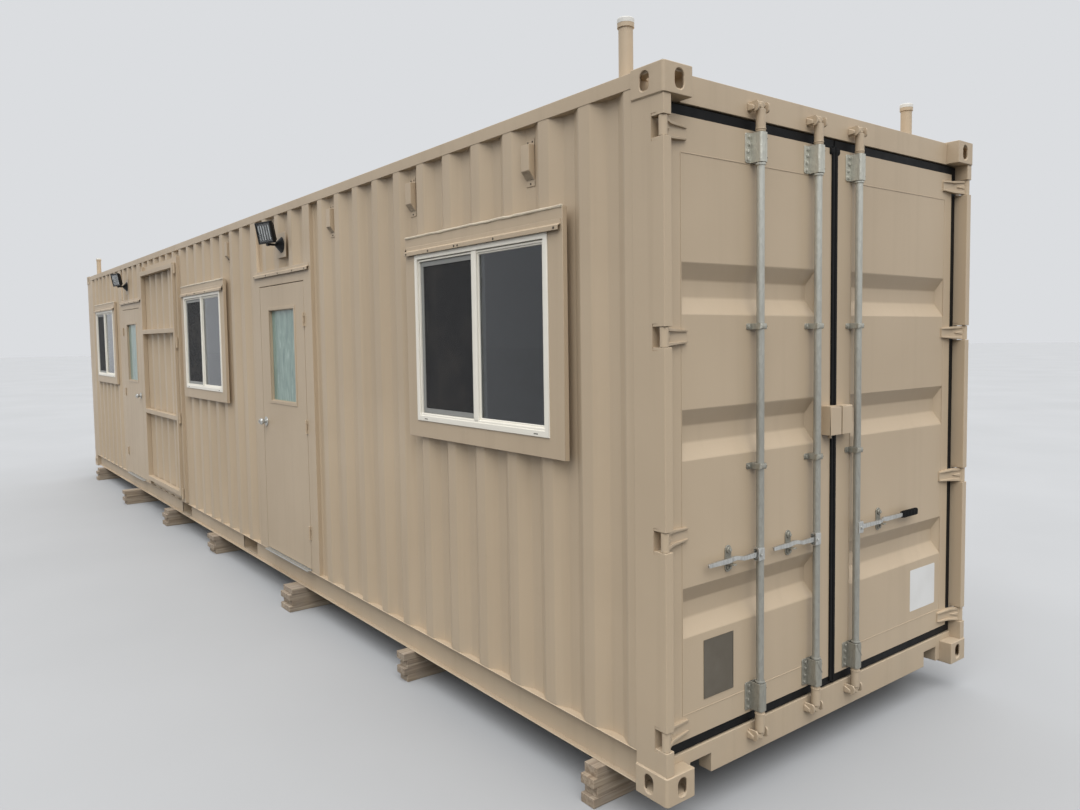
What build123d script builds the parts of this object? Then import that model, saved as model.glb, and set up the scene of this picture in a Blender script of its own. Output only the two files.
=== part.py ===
from build123d import *
import math
import os

# Shipping container cabin: a 40 ft high cube container turned into a cabin.
# Millimetres. X runs along the length with the cargo doors at +X, the windows face -Y, and Z = 0 is the
# level ground under the timber blocking.

# Container, to its standard outside sizes
length = 12192
width = 2438
height = 2896
casting_length = 178
casting_width = 162
casting_height = 118
casting_wall = 12
casting_plate = 28
casting_corner_radius = 14
aperture_inset_x = 103.5
aperture_inset_y = 89.5
aperture_length = 124
aperture_width = 63.5
side_aperture_height = 79.5
side_aperture_width = 51

# Timber blocking under the bottom rails
board_thickness = 43
board_layers = 4
board_length = 520
board_step = 22
block_places = [(430, 85, 52), (2120, 90, 54), (3850, 180, 107), (6000, 200, 40), (7600, 180, 82)]
block_places += [(9250, 140, 177), (11600, 140, 87)]

# Steel frame
rail_lift = 12.5
frame_inset = 6
beam_inset = 66
bottom_rail_height = 158
bottom_rail_flange = 48
bottom_rail_lip = 30
bottom_rail_wall = 5
top_rail_size = 62
top_rail_wall = 4
post_width = 43
far_post_width = 90
header_height = 115
header_depth = 60
roof_plate = 4
sill_height = 138
sill_depth = 70
sill_notch_width = 130
sill_notch_height = 82
sill_notch_offset = 45
far_rail_depth = 60
cross_member_height = 122
cross_member_flange = 45
cross_member_wall = 5
cross_member_pitch = 300
pocket_width = 360
pocket_height = 115
pocket_wall = 5
pocket_spacing = 2050
deck_thickness = 28

# Corrugated skins
skin_inset = 8
skin_thickness = 2
crest_flat = 72
crest_slope = 68
valley_flat = 70
corrugation_depth = 36
corrugation_margin = 225
end_crest_flat = 110
end_slope = 18
end_valley_flat = 104
end_corrugation_depth = 45
roof_crest_flat = 91
roof_slope = 14
roof_valley_flat = 91
roof_corrugation_depth = 20
roof_inset = 8

# Insulated lining inside the skins
lining_gap = 2
lining_thickness = 70

# Windows
window_width = 1194
window_height = 920
window_sill = 1412
window_places = [1288, 6065, 10850]
window_frame_width = 46
window_frame_depth = 70
window_proud = 6
mullion_width = 44
glass_thickness = 6
surround_side = 106
surround_foot = 92
surround_head = 98
surround_thickness = 26
cap_height = 50
cap_depth = 18
cap_lip = 22
cap_sheet = 3
cap_fall = 7
window_cap_overlap = 4
window_cap_inset = 12

# Front doors
door_width = 905
door_height = 2110
door_foot = 187
door_thickness = 45
door_places = [4034, 9265]
door_hinge_sides = [1, -1]
door_gap = 6
door_stop = 14
stop_gap = 5
door_frame_face = 50
door_post_width = 90
door_cap_rise = 69
door_cap_overhang = 60
lite_width = 542
lite_height = 730
lite_foot = 1390
handle_height = 1225
handle_backset = 62
rose_radius = 37
rose_thickness = 8
neck_radius = 13
knob_radius = 28
knob_reach = 50
knob_flat = 14
door_hinge_radius = 8
door_pin_radius = 4
door_hinge_length = 100
door_hinge_heights = [460, 1240, 2020]
door_range = 165
door_leaf_plate = 22
hinge_plate = 3
hinge_ring_share = 0.4
handle_range = 45
threshold_height = 11
threshold_reach = 30

# Side gate
gate_width = 1478
gate_height = 2450
gate_foot = 250
gate_place = 7691
gate_tube = 50
gate_standoff = 9
gate_rail_heights = [1075, 2000]
gate_gap = 7
gate_jamb_width = 56
gate_jamb_proud = 29
gate_pin_offset = 22
gate_hinge_radius = 13
gate_pin_radius = 5
gate_hinge_length = 110
gate_range = 160
gate_hinge_heights = [280, 1080, 1870, 2640]

# Hinges of the cargo doors
hinge_pitch = 800
lowest_hinge = 258
hinge_count = 4

# Cargo doors
opening_side = 49
pin_inset_x = 26
pin_inset_y = 24
leaf_inset = 72
leaf_depth = 50
leaf_stile = 72
centre_stile = 125
leaf_head_rail = 141
leaf_foot_rail = 103
gasket_width = 40
gasket_gap = 6
centre_gasket = 14
centre_gap = 10
panel_sheet = 3
band_slope = 71
band_flat = 70
band_depth = 36
band_heights = [727, 1459, 2052]
hinge_radius = 17
hinge_pin_radius = 9
blade_height = 76
blade_length = 98
blade_thickness = 6
blade_fall = 12
fin_thickness = 12
fin_height = 14
gusset_length = 40
gusset_height = 20
notch_length = 66
notch_height = 104
running_gap = 2
pin_clearance = 1
rod_radius = 17
rod_places = [620, 1037, 1369]
rod_sides = [-1, -1, 1]
rod_axis_inset = 33
rod_reach = 66
rod_clearance = 1
cam_height = 30
cam_radius = 24
cam_thickness = 26
cam_neck_radius = 21
keeper_gap = 6
keeper_thickness = 9
keeper_height = 44
keeper_inset = 24
keeper_depth = 50
keeper_round = 14
bracket_height = 125
bracket_inset = 14
bracket_flange = 57
bracket_plate = 5
bracket_wall = 5
bracket_round = 10
collar_radius = 22
collar_height = 9
clamp_height = 26
clamp_flange = 48
clamp_heights = [1295, 1898]
handle_level = 912
handle_reaches = [330, 315, 580]
handle_thickness = 10
handle_depth = 24
handle_jog = 6
handle_bend = 34
hub_reach = 32
hub_back = 8
hub_height = 60
hub_front = 20
hub_round = 8
catch_distances = [171, 170, 254]
catch_width = 34
catch_height = 108
catch_gap = 6
catch_plate = 6
boss_radius = 12
boss_height = 14
shelf_thickness = 6
seat_gap = 0.3
lock_box_height = 136
lock_box_reach = 90
lock_box_depth = 52
lock_box_wall = 4
lock_box_round = 8
lock_box_level = 1453
lock_stud_radius = 9
lock_stud_drop = 16
lock_stud_place = 62
cargo_range_left = 255
cargo_range_right = 260
rod_range = 100

# Fittings on the walls and roof
floodlight_places = [3965, 9400]
floodlight_level = 2590
lamp_width = 190
lamp_height = 160
lamp_depth = 36
lamp_reach = 100
lamp_rim = 14
lamp_recess = 6
lamp_taper = 12
lamp_tilt = 12
lamp_turn = 14
arm_radius = 9
knuckle_radius = 13
knuckle_width = 34
canopy_radius = 60
canopy_tip = 16
canopy_depth = 45
lamp_plate_width = 165
lamp_plate_height = 187
lamp_plate_thickness = 4
vent_valleys = [2, 6, 10, 18]
vent_width = 62
vent_height = 215
vent_sheet = 3
vent_flange = 28
vent_slope = 41
vent_foot = 2560
pipe_radius = 30.2
pipe_wall = 3.9
pipe_top = 3125
pipe_from_end = 325
pipe_from_side = 119
cap_radius = 35
cap_rise = 40

# Heights above the ground
lift = board_layers * board_thickness - rail_lift
rail_foot = lift + rail_lift
rail_top = rail_foot + bottom_rail_height
floor_top = rail_top
roof_top = lift + height - frame_inset
wall_top = roof_top - top_rail_size
side_face = width / 2 - frame_inset
end_face = length / 2 - frame_inset
skin_face = width / 2 - skin_inset
lining_face = skin_face - corrugation_depth - skin_thickness - lining_gap
room_side = lining_face - lining_thickness
far_skin_face = length / 2 - skin_inset
far_lining_face = far_skin_face - end_corrugation_depth - skin_thickness - lining_gap
ceiling_top = roof_top - roof_inset - roof_corrugation_depth - skin_thickness - lining_gap
ceiling_foot = lift + height - casting_height
web_face = side_face - bottom_rail_flange
casting_end = length / 2 - casting_length
beam_face = length / 2 - beam_inset
leaf_face = length / 2 - leaf_inset
beam_side = width / 2 - casting_width
header_foot = roof_top - header_height
sill_top = rail_foot + sill_height
far_rail_foot = lift + height - casting_height
rod_x = length / 2 - rod_axis_inset
gate_back = -skin_face - gate_standoff
gate_front = gate_back - gate_tube


def from_cargo_end(distance):
    """X of a place measured along the side from the cargo doors."""
    return length / 2 - distance


def block(x_low, x_high, y_low, y_high, z_low, z_high):
    """A plain box between two corners."""
    size = (x_high - x_low, y_high - y_low, z_high - z_low)
    centre = ((x_low + x_high) / 2, (y_low + y_high) / 2, (z_low + z_high) / 2)
    return Pos(*centre) * Box(*size)


def upright(radius, z_low, z_high, x=0, y=0):
    """A round bar that stands up."""
    return Pos(x, y, (z_low + z_high) / 2) * Cylinder(radius, z_high - z_low)


def save(name, solids):
    """Write one node."""
    export_step(Compound(children=list(solids)), f"parts/{name}.step")


def mirror_y(solid):
    """The same piece on the other long side."""
    return mirror(solid, about=Plane.XZ)


def mirror_x(solid):
    """The same piece at the other end."""
    return mirror(solid, about=Plane.YZ)


def wave(start, end, crest, slope, valley, depth, lead):
    """Points of a corrugated line: distance along it, and depth below the crests."""
    points = [(start, 0), (start + lead, 0)]
    place = start + lead
    pitch = crest + 2 * slope + valley
    while place + pitch - crest + lead / 2 < end:
        points += [
            (place + slope, depth),
            (place + slope + valley, depth),
            (place + 2 * slope + valley, 0),
        ]
        place += pitch
        if place + pitch - crest + lead / 2 < end:
            points.append((place, 0))
    points.append((end, 0))
    return points


def corrugated(points, thickness):
    """A closed outline of a corrugated sheet, with its crests at zero and its depth along -Y."""
    front = [(along, -down) for along, down in points]
    back = [(along, -down - thickness) for along, down in reversed(points)]
    return make_face(Polyline(*front, *back, close=True))


def casting(top):
    """A corner casting at the +X, -Y corner, with its hand holes and its slot."""
    z_low = lift + height - casting_height if top else lift
    z_high = z_low + casting_height
    x_high = length / 2
    y_low = -width / 2
    body = block(x_high - casting_length, x_high, y_low, y_low + casting_width, z_low, z_high)
    corner = body.edges().filter_by(Axis.Z).sort_by(lambda edge: edge.center().X - edge.center().Y)[-1]
    body = fillet(corner, casting_corner_radius)
    body -= block(
        x_high - casting_length + casting_wall,
        x_high - casting_wall,
        y_low + casting_wall,
        y_low + casting_width - casting_wall,
        z_low + casting_plate,
        z_high - casting_plate,
    )
    slot_x = length / 2 - aperture_inset_x
    slot_y = aperture_inset_y - width / 2
    slot_z = z_high - casting_plate if top else z_low
    slot = extrude(SlotOverall(aperture_length, aperture_width), casting_plate)
    body -= Pos(slot_x, slot_y, slot_z) * slot
    middle = (z_low + z_high) / 2
    hole = SlotOverall(side_aperture_height, side_aperture_width)
    end_hole = Plane((x_high - casting_wall, slot_y, middle), x_dir=(0, 0, 1), z_dir=(1, 0, 0)) * hole
    side_hole = Plane((slot_x, y_low + casting_wall, middle), x_dir=(0, 0, 1), z_dir=(0, -1, 0)) * hole
    body -= extrude(end_hole, casting_wall)
    body -= extrude(side_hole, casting_wall)
    return body


def four_corners(solid):
    """A piece at one corner, and its mirror images at the other three."""
    pair = [solid, mirror_y(solid)]
    return pair + [mirror_x(piece) for piece in pair]


def pocket_levels():
    """Lowest and highest inside level of a fork pocket."""
    high = floor_top - deck_thickness - pocket_wall
    return high - pocket_height, high


def bottom_rail():
    """The channel under the front wall: a web, a wide top flange and a short lip below."""
    outer = -side_face
    web = -web_face
    rail = block(-casting_end, casting_end, web - bottom_rail_wall, web, rail_foot, rail_top)
    rail += block(-casting_end, casting_end, outer, web, rail_top - bottom_rail_wall, rail_top)
    lip = web - bottom_rail_lip
    rail += block(-casting_end, casting_end, lip, web, rail_foot, rail_foot + bottom_rail_wall)
    low, high = pocket_levels()
    for side in (-1, 1):
        x = side * pocket_spacing / 2
        rail -= block(x - pocket_width / 2, x + pocket_width / 2, outer, 0, low, high)
    return rail


def fork_pocket(x):
    """A box tube across the base for the forks."""
    low, high = pocket_levels()
    half = pocket_width / 2
    y = web_face - bottom_rail_wall
    wall = pocket_wall
    outer = block(x - half - wall, x + half + wall, -y, y, low - wall, high + wall)
    return outer - block(x - half, x + half, -y, y, low, high)


def cross_member(x):
    """One channel across the base, carrying the deck."""
    top = floor_top - deck_thickness
    foot = top - cross_member_height
    y = web_face - bottom_rail_wall
    wall = cross_member_wall
    bar = block(x - wall, x, -y, y, foot, top)
    for z in (foot, top - wall):
        bar += block(x, x + cross_member_flange - wall, -y, y, z, z + wall)
    return bar


def cross_member_places():
    """Evenly spaced places between the sills, without those in the fork pockets."""
    half = casting_end - cross_member_pitch / 2
    count = math.floor(2 * half / cross_member_pitch)
    spacing = 2 * half / count
    keep_out = pocket_width / 2 + pocket_wall + cross_member_flange
    places = [-half + spacing * index for index in range(count + 1)]
    return [x for x in places if abs(abs(x) - pocket_spacing / 2) > keep_out]


def floor_deck():
    """The plywood deck between the side rails and the end beams."""
    y = web_face - bottom_rail_wall
    y_end = side_face - far_post_width
    foot = floor_top - deck_thickness
    deck = block(-casting_end, beam_face - sill_depth, -y, y, foot, floor_top)
    return deck + block(-end_face + far_rail_depth, -casting_end, -y_end, y_end, foot, floor_top)


def top_rail():
    """The square tube along the top of the front wall."""
    outer = -side_face
    inner = outer + top_rail_size
    wall = top_rail_wall
    tube = block(-casting_end, casting_end, outer, inner, wall_top, roof_top)
    return tube - block(
        -casting_end, casting_end, outer + wall, inner - wall, wall_top + wall, roof_top - wall
    )


def hinge_heights():
    """Middle height of each cargo door hinge."""
    return [lift + lowest_hinge + hinge_pitch * index for index in range(hinge_count)]


def cargo_pin():
    """X and Y of the left cargo door's hinge line."""
    return length / 2 - pin_inset_x, -width / 2 + pin_inset_y


def cargo_post():
    """The post at the +X, -Y corner, with a notch, two lugs and a pin at each hinge."""
    outer = -side_face
    inner = outer + post_width
    x_pin, y_pin = cargo_pin()
    post = block(casting_end, end_face, outer, inner, lift + casting_height, ceiling_foot)
    half = notch_height / 2
    for z in hinge_heights():
        post -= block(end_face - notch_length, end_face, outer, inner, z - half, z + half)
    for z in hinge_heights():
        pin = upright(hinge_pin_radius, z - half, z + half, x_pin, y_pin)
        for side in (-1, 1):
            near = z + side * (blade_height / 2 + running_gap)
            far = z + side * half
            x_low = x_pin - hinge_radius
            pin += block(x_low, end_face, outer, inner, min(near, far), max(near, far))
        post += pin
    return post


def far_post():
    """The plain post at the -X, -Y corner."""
    outer = -side_face
    return block(
        -end_face, -casting_end, outer, outer + far_post_width, lift + casting_height, ceiling_foot
    )


def keeper(y, z_low):
    """The cast keeper of one cam: a rounded cheek each side of it, on the face of the beam."""
    z_high = z_low + keeper_height
    cheeks = []
    for side in (-1, 1):
        near = y + side * (cam_radius + keeper_gap)
        far = near + side * keeper_thickness
        cheek = block(beam_face, beam_face + keeper_depth, min(near, far), max(near, far), z_low, z_high)
        nose = cheek.edges().filter_by(Axis.Y).sort_by(Axis.X)[-2:]
        cheeks.append(fillet(nose, keeper_round))
    return cheeks


def rod_y(index):
    """Y of a lock rod."""
    return rod_places[index] - width / 2


def cam_keepers():
    """The keepers of every cam, on the beams over and under the cargo doors."""
    cheeks = []
    for index in range(len(rod_places)):
        cheeks += keeper(rod_y(index), header_foot + keeper_inset)
        cheeks += keeper(rod_y(index), sill_top - keeper_inset - keeper_height)
    return cheeks


def door_header():
    """The beam over the cargo doors, with its roof plate."""
    beam = block(beam_face - header_depth, beam_face, -beam_side, beam_side, header_foot, roof_top)
    beam += block(casting_end, beam_face, -beam_side, beam_side, roof_top - roof_plate, roof_top)
    return beam


def door_sill():
    """The beam under the cargo doors, with a notch beside each casting."""
    x_low = beam_face - sill_depth
    beam = block(x_low, beam_face, -beam_side, beam_side, rail_foot, sill_top)
    post_side = side_face - post_width
    beam += block(x_low, beam_face, -post_side, post_side, lift + casting_height, sill_top)
    notch_top = rail_foot + sill_notch_height
    notch_start = beam_side - sill_notch_offset - sill_notch_width
    for side in (-1, 1):
        near = side * notch_start
        far = side * (notch_start + sill_notch_width)
        beam -= block(x_low, beam_face, min(near, far), max(near, far), rail_foot, notch_top)
    return beam


def far_end_frame():
    """The closed end's posts with the beam between their feet, and its top beam with the roof plate."""
    x = -end_face
    post_side = side_face - far_post_width
    foot = lift + casting_height
    lower = block(x, x + far_rail_depth, -beam_side, beam_side, rail_foot, rail_top)
    lower += block(x, x + far_rail_depth, -post_side, post_side, foot, rail_top)
    upper = block(x, x + far_rail_depth, -beam_side, beam_side, far_rail_foot, roof_top)
    upper += block(x, -casting_end, -beam_side, beam_side, roof_top - roof_plate, roof_top)
    return [lower + both_sides([far_post()]), upper]


class Hole:
    """A rectangular hole in the front wall."""

    def __init__(self, x_low, x_high, z_low, z_high):
        self.x_low = x_low
        self.x_high = x_high
        self.z_low = z_low
        self.z_high = z_high

    def grown(self, side, foot, head):
        """The same hole made larger by a margin."""
        return Hole(self.x_low - side, self.x_high + side, self.z_low - foot, self.z_high + head)

    def through(self, y_low, y_high):
        """A box that fills the hole between two depths."""
        return block(self.x_low, self.x_high, y_low, y_high, self.z_low, self.z_high)


def hole_at(place, hole_width, foot, hole_height):
    """A hole at a distance from the cargo doors and a height above the castings' feet."""
    x = from_cargo_end(place)
    return Hole(x - hole_width / 2, x + hole_width / 2, lift + foot, lift + foot + hole_height)


def window_holes():
    """The openings that the window frames fill."""
    return [hole_at(place, window_width, window_sill, window_height) for place in window_places]


def door_leaf_outline(index):
    """The outline of a front door leaf."""
    return hole_at(door_places[index], door_width, door_foot, door_height)


def doorway_clear(index):
    """The clear opening that a front door leaf closes, down to the rail."""
    leaf = door_leaf_outline(index)
    return Hole(leaf.x_low - door_gap, leaf.x_high + door_gap, rail_top, leaf.z_high + door_gap)


def doorway_outer(index):
    """The opening in the wall that a door frame fills, up to the top of its drip cap."""
    return doorway_clear(index).grown(door_frame_face, 0, door_cap_rise + cap_height)


def door_posts(index):
    """The two flat posts beside a door frame, up to the top rail."""
    outer = doorway_outer(index)
    posts = []
    for x_low in (outer.x_low - door_post_width, outer.x_high):
        posts.append(
            block(x_low, x_low + door_post_width, -skin_face, -lining_face, rail_top, wall_top)
        )
    return posts


def gate_leaf():
    """The outline of the gate."""
    return hole_at(gate_place, gate_width, gate_foot, gate_height)


def gate_clear():
    """The clear opening that the gate closes."""
    return gate_leaf().grown(gate_gap, gate_gap, gate_gap)


def gate_outer():
    """The opening in the wall that the gate's surround fills."""
    return gate_clear().grown(gate_jamb_width, gate_jamb_width, gate_jamb_width)


def side_wave():
    """The corrugated line of a long wall, counted from the cargo doors."""
    lead = corrugation_margin - casting_length
    line = wave(-casting_end, casting_end, crest_flat, crest_slope, valley_flat, corrugation_depth, lead)
    return [(-along, down) for along, down in reversed(line)]


def rear_skin():
    """The plain corrugated wall at the back."""
    profile = Pos(0, skin_face, rail_top) * corrugated(side_wave(), skin_thickness)
    return extrude(profile, wall_top - rail_top, dir=(0, 0, 1))


def front_skin():
    """The corrugated front wall with its windows, doorways and gate cut out."""
    sheet = mirror_y(rear_skin())
    y_low = -skin_face
    y_high = -lining_face
    for hole in window_holes():
        sheet -= hole.through(y_low, y_high)
    for index in range(len(door_places)):
        sheet -= doorway_outer(index).through(y_low, y_high)
        for post in door_posts(index):
            sheet -= post
    return sheet - gate_outer().through(y_low, y_high)


def far_skin():
    """The corrugated closed end."""
    side = side_face - far_post_width
    points = wave(
        -side, side, end_crest_flat, end_slope, end_valley_flat, end_corrugation_depth, end_valley_flat
    )
    profile = Rot(0, 0, 90) * corrugated(points, skin_thickness)
    profile = Pos(-far_skin_face, 0, rail_top) * profile
    return extrude(profile, far_rail_foot - rail_top, dir=(0, 0, 1))


def roof_skin():
    """The roof sheet, corrugated across, with holes for the vent pipes."""
    side = side_face - top_rail_size
    lead = roof_crest_flat + roof_slope
    shape = (roof_crest_flat, roof_slope, roof_valley_flat, roof_corrugation_depth)
    points = wave(-casting_end, casting_end, *shape, lead)
    profile = Pos(0, side, roof_top - roof_inset) * Rot(90, 0, 0) * corrugated(points, skin_thickness)
    sheet = extrude(profile, 2 * side, dir=(0, -1, 0))
    for x in (-pipe_x(), pipe_x()):
        for y in (-pipe_y(), pipe_y()):
            sheet -= upright(pipe_radius, ceiling_top, roof_top, x, y)
    return sheet


def front_lining():
    """The insulated lining behind the front wall, in pieces beside and over each opening."""
    y_low = -lining_face
    y_high = -room_side
    first = doorway_outer(0)
    second = doorway_outer(1)
    gate = gate_outer()
    near = block(first.x_high, casting_end, y_low, y_high, floor_top, ceiling_foot)
    middle = block(gate.x_high, first.x_low, y_low, y_high, floor_top, ceiling_foot)
    pier = block(second.x_high, gate.x_low, y_low, y_high, floor_top, ceiling_foot)
    far = block(-casting_end, second.x_low, y_low, y_high, floor_top, ceiling_foot)
    windows = window_holes()
    near -= windows[0].through(y_low, y_high)
    middle -= windows[1].through(y_low, y_high)
    far -= windows[2].through(y_low, y_high)
    pieces = [near, middle, pier, far]
    for hole in (first, second, gate):
        pieces.append(block(hole.x_low, hole.x_high, y_low, y_high, hole.z_high, ceiling_foot))
    pieces.append(block(gate.x_low, gate.x_high, y_low, y_high, floor_top, gate.z_low))
    return pieces


def rear_lining():
    """The insulated lining behind the rear wall."""
    return block(-casting_end, casting_end, room_side, lining_face, floor_top, ceiling_foot)


def far_lining():
    """The insulated lining behind the closed end."""
    x = -far_lining_face
    y = side_face - far_post_width
    return block(x, -casting_end, -y, y, floor_top, ceiling_foot)


def ceiling_lining():
    """The insulated ceiling under the roof sheet."""
    y = side_face - top_rail_size
    slab = block(-casting_end, casting_end, -y, y, ceiling_foot, ceiling_top)
    x_far = -end_face + far_rail_depth
    x_near = beam_face - header_depth
    return slab + block(x_far, x_near, -beam_side, beam_side, ceiling_foot, ceiling_top)


def window_front():
    """Y of the window frames' outer face."""
    return -skin_face - surround_thickness - window_proud


def window_frame(hole):
    """A white sliding window frame with its meeting stile."""
    front = window_front()
    back = front + window_frame_depth
    inner = hole.grown(-window_frame_width, -window_frame_width, -window_frame_width)
    frame = hole.through(front, back) - inner.through(front, back)
    middle = (hole.x_low + hole.x_high) / 2
    half = mullion_width / 2
    stile = block(
        middle - half, middle + half, front + window_proud, back - window_proud, inner.z_low, inner.z_high
    )
    return frame + stile


def window_panes(hole):
    """The two panes of a window, the far one set further back."""
    inner = hole.grown(-window_frame_width, -window_frame_width, -window_frame_width)
    middle = (hole.x_low + hole.x_high) / 2
    half = mullion_width / 2
    first = window_front() + window_frame_depth / 3
    second = window_front() + window_frame_depth * 2 / 3
    far = block(inner.x_low, middle - half, second, second + glass_thickness, inner.z_low, inner.z_high)
    near = block(middle + half, inner.x_high, first, first + glass_thickness, inner.z_low, inner.z_high)
    return [far, near]


def drip_cap(x_low, x_high, z_low, front):
    """A bent strip over an opening: a flat flange, a shoulder that falls outwards and a down-turned lip."""
    points = [
        (0, cap_height),
        (-cap_sheet, cap_height),
        (-cap_sheet, cap_lip + cap_fall),
        (-cap_depth, cap_lip),
        (-cap_depth, 0),
        (-cap_depth + cap_sheet, 0),
        (-cap_depth + cap_sheet, cap_lip - cap_sheet),
        (0, cap_lip + cap_fall - cap_sheet),
    ]
    plane = Plane((x_low, front, z_low), x_dir=(0, 1, 0), z_dir=(1, 0, 0))
    return extrude(plane * make_face(Polyline(*points, close=True)), x_high - x_low, dir=(1, 0, 0))


def window_surround(hole):
    """The flat steel surround welded over the corrugations, with its drip cap."""
    front = -skin_face - surround_thickness
    outer = hole.grown(surround_side, 0, surround_head)
    outer = Hole(outer.x_low, outer.x_high, hole.z_low - surround_foot, outer.z_high)
    plate = outer.through(front, -skin_face) - hole.through(front, -skin_face)
    ends = outer.grown(-window_cap_inset, 0, 0)
    return plate + drip_cap(ends.x_low, ends.x_high, hole.z_high - window_cap_overlap, front)


def hinge_knuckles(x, y, z, radius, pin_radius, ring_length, whole_length):
    """The fixed pin of a hinge, with a knuckle above and below the moving barrel."""
    half = whole_length / 2
    near = ring_length / 2 + running_gap
    pin = upright(pin_radius, z - half, z + half, x, y)
    return pin + upright(radius, z - half, z - near, x, y) + upright(radius, z + near, z + half, x, y)


def door_pin(index):
    """X and Y of a front door's hinge line, in front of its gap."""
    leaf = door_leaf_outline(index)
    if door_hinge_sides[index] > 0:
        x = leaf.x_high + door_gap / 2
    else:
        x = leaf.x_low - door_gap / 2
    return x, -skin_face - door_hinge_radius - seat_gap


def door_frame(index):
    """The steel frame of a front door: jambs and head with stops, posts, a drip cap and hinge knuckles."""
    clear = doorway_clear(index)
    outer = doorway_outer(index)
    front = -skin_face
    back = -room_side
    frame = outer.through(front, back) - clear.through(front, back)
    stop_front = front + door_thickness + stop_gap
    inner = Hole(clear.x_low + door_stop, clear.x_high - door_stop, clear.z_low, clear.z_high - door_stop)
    frame += clear.through(stop_front, back) - inner.through(stop_front, back)
    for post in door_posts(index):
        frame += post
    ends = outer.grown(door_cap_overhang, 0, 0)
    frame += drip_cap(ends.x_low, ends.x_high, clear.z_high + door_cap_rise, front)
    side = door_hinge_sides[index]
    x, y = door_pin(index)
    ring = door_hinge_length * hinge_ring_share
    for place in door_hinge_heights:
        z = lift + place
        frame += hinge_knuckles(x, y, z, door_hinge_radius, door_pin_radius, ring, door_hinge_length)
        edge = x + side * door_leaf_plate
        for end in (-1, 1):
            near = z + end * (ring / 2 + running_gap)
            far = z + end * door_hinge_length / 2
            frame += block(
                min(x, edge), max(x, edge), front - hinge_plate, front, min(near, far), max(near, far)
            )
    return frame


def lite_hole(index):
    """The glazed opening of a front door."""
    return hole_at(door_places[index], lite_width, lite_foot, lite_height)


def door_leaf(index):
    """A front door leaf with the hole for its glass and its hinge barrels."""
    front = -skin_face
    lite = lite_hole(index)
    leaf = door_leaf_outline(index).through(front, front + door_thickness)
    leaf -= lite.through(front, front + door_thickness)
    x, y = door_pin(index)
    edge = x - door_hinge_sides[index] * door_leaf_plate
    ring = door_hinge_length * hinge_ring_share
    bore_radius = door_pin_radius + pin_clearance
    for place in door_hinge_heights:
        z = lift + place
        leaf += block(min(x, edge), max(x, edge), front - hinge_plate, front, z - ring / 2, z + ring / 2)
        leaf += upright(door_hinge_radius, z - ring / 2, z + ring / 2, x, y)
        leaf -= upright(bore_radius, z - ring / 2, z + ring / 2, x, y)
    return leaf


def door_glass(index):
    """The pane of a front door."""
    front = -skin_face + door_thickness / 2
    return lite_hole(index).through(front, front + glass_thickness)


def handle_x(index):
    """X of a front door's handle spindle."""
    x = from_cargo_end(door_places[index])
    return x - door_hinge_sides[index] * (door_width / 2 - handle_backset)


def turned(x, y_face, z, radius, thickness):
    """A disc on the front face of something, standing out towards -Y."""
    plane = Plane((x, y_face, z), x_dir=(1, 0, 0), z_dir=(0, -1, 0))
    return extrude(plane * Circle(radius), thickness)


def door_knob(index):
    """A round knob on its rose, turning on its spindle."""
    x = handle_x(index)
    z = lift + handle_height
    face = -skin_face - seat_gap
    knob = turned(x, face, z, rose_radius, rose_thickness)
    rim = knob.edges().filter_by(GeomType.CIRCLE).sort_by(Axis.Y)[0]
    knob = fillet(rim, rose_thickness / 2)
    knob += turned(x, face, z, neck_radius, knob_reach)
    ball = Pos(x, face - knob_reach, z) * Sphere(knob_radius)
    half = knob_radius
    front = face - knob_reach - knob_flat
    return knob + (ball & block(x - half, x + half, front, face, z - half, z + half))


def threshold(index):
    """The metal threshold of a front door."""
    clear = doorway_clear(index)
    y_low = -skin_face - threshold_reach
    inner = clear.grown(-door_stop, 0, 0)
    return block(inner.x_low, inner.x_high, y_low, -room_side, rail_top, rail_top + threshold_height)


def gate_pin():
    """X and Y of the gate's hinge line."""
    y = -skin_face - gate_jamb_proud - gate_hinge_radius - seat_gap
    return gate_leaf().x_high + gate_pin_offset, y


def gate_surround():
    """The tube frame round the gate opening with the fixed parts of its hinges."""
    clear = gate_clear()
    outer = gate_outer()
    front = -skin_face
    back = -room_side
    frame = outer.through(front, back)
    jamb_front = front - gate_jamb_proud
    for x_low in (outer.x_low, clear.x_high):
        frame += block(x_low, x_low + gate_jamb_width, jamb_front, front, outer.z_low, outer.z_high)
    frame -= clear.through(jamb_front, back)
    x, y = gate_pin()
    ring = gate_hinge_length * hinge_ring_share
    half = gate_pin_radius
    for place in gate_hinge_heights:
        z = lift + place
        frame += hinge_knuckles(x, y, z, gate_hinge_radius, gate_pin_radius, ring, gate_hinge_length)
        for end in (-1, 1):
            near = z + end * (ring / 2 + running_gap)
            far = z + end * gate_hinge_length / 2
            frame += block(x - half, x + half, y, jamb_front, min(near, far), max(near, far))
    return frame


def gate_frame():
    """The tube frame of the gate with its two middle rails and its hinge barrels."""
    leaf = gate_leaf()
    frame = leaf.through(gate_front, gate_back)
    frame -= leaf.grown(-gate_tube, -gate_tube, -gate_tube).through(gate_front, gate_back)
    for place in gate_rail_heights:
        low = lift + place - gate_tube / 2
        frame += block(leaf.x_low, leaf.x_high, gate_front, gate_back, low, low + gate_tube)
    x, y = gate_pin()
    ring = gate_hinge_length * hinge_ring_share
    half = gate_pin_radius
    bore_radius = gate_pin_radius + pin_clearance
    for place in gate_hinge_heights:
        z = lift + place
        frame += block(leaf.x_high - half, x, y - half, y + half, z - ring / 2, z + ring / 2)
        frame += upright(gate_hinge_radius, z - ring / 2, z + ring / 2, x, y)
        frame -= upright(bore_radius, z - ring / 2, z + ring / 2, x, y)
    return frame


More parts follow.
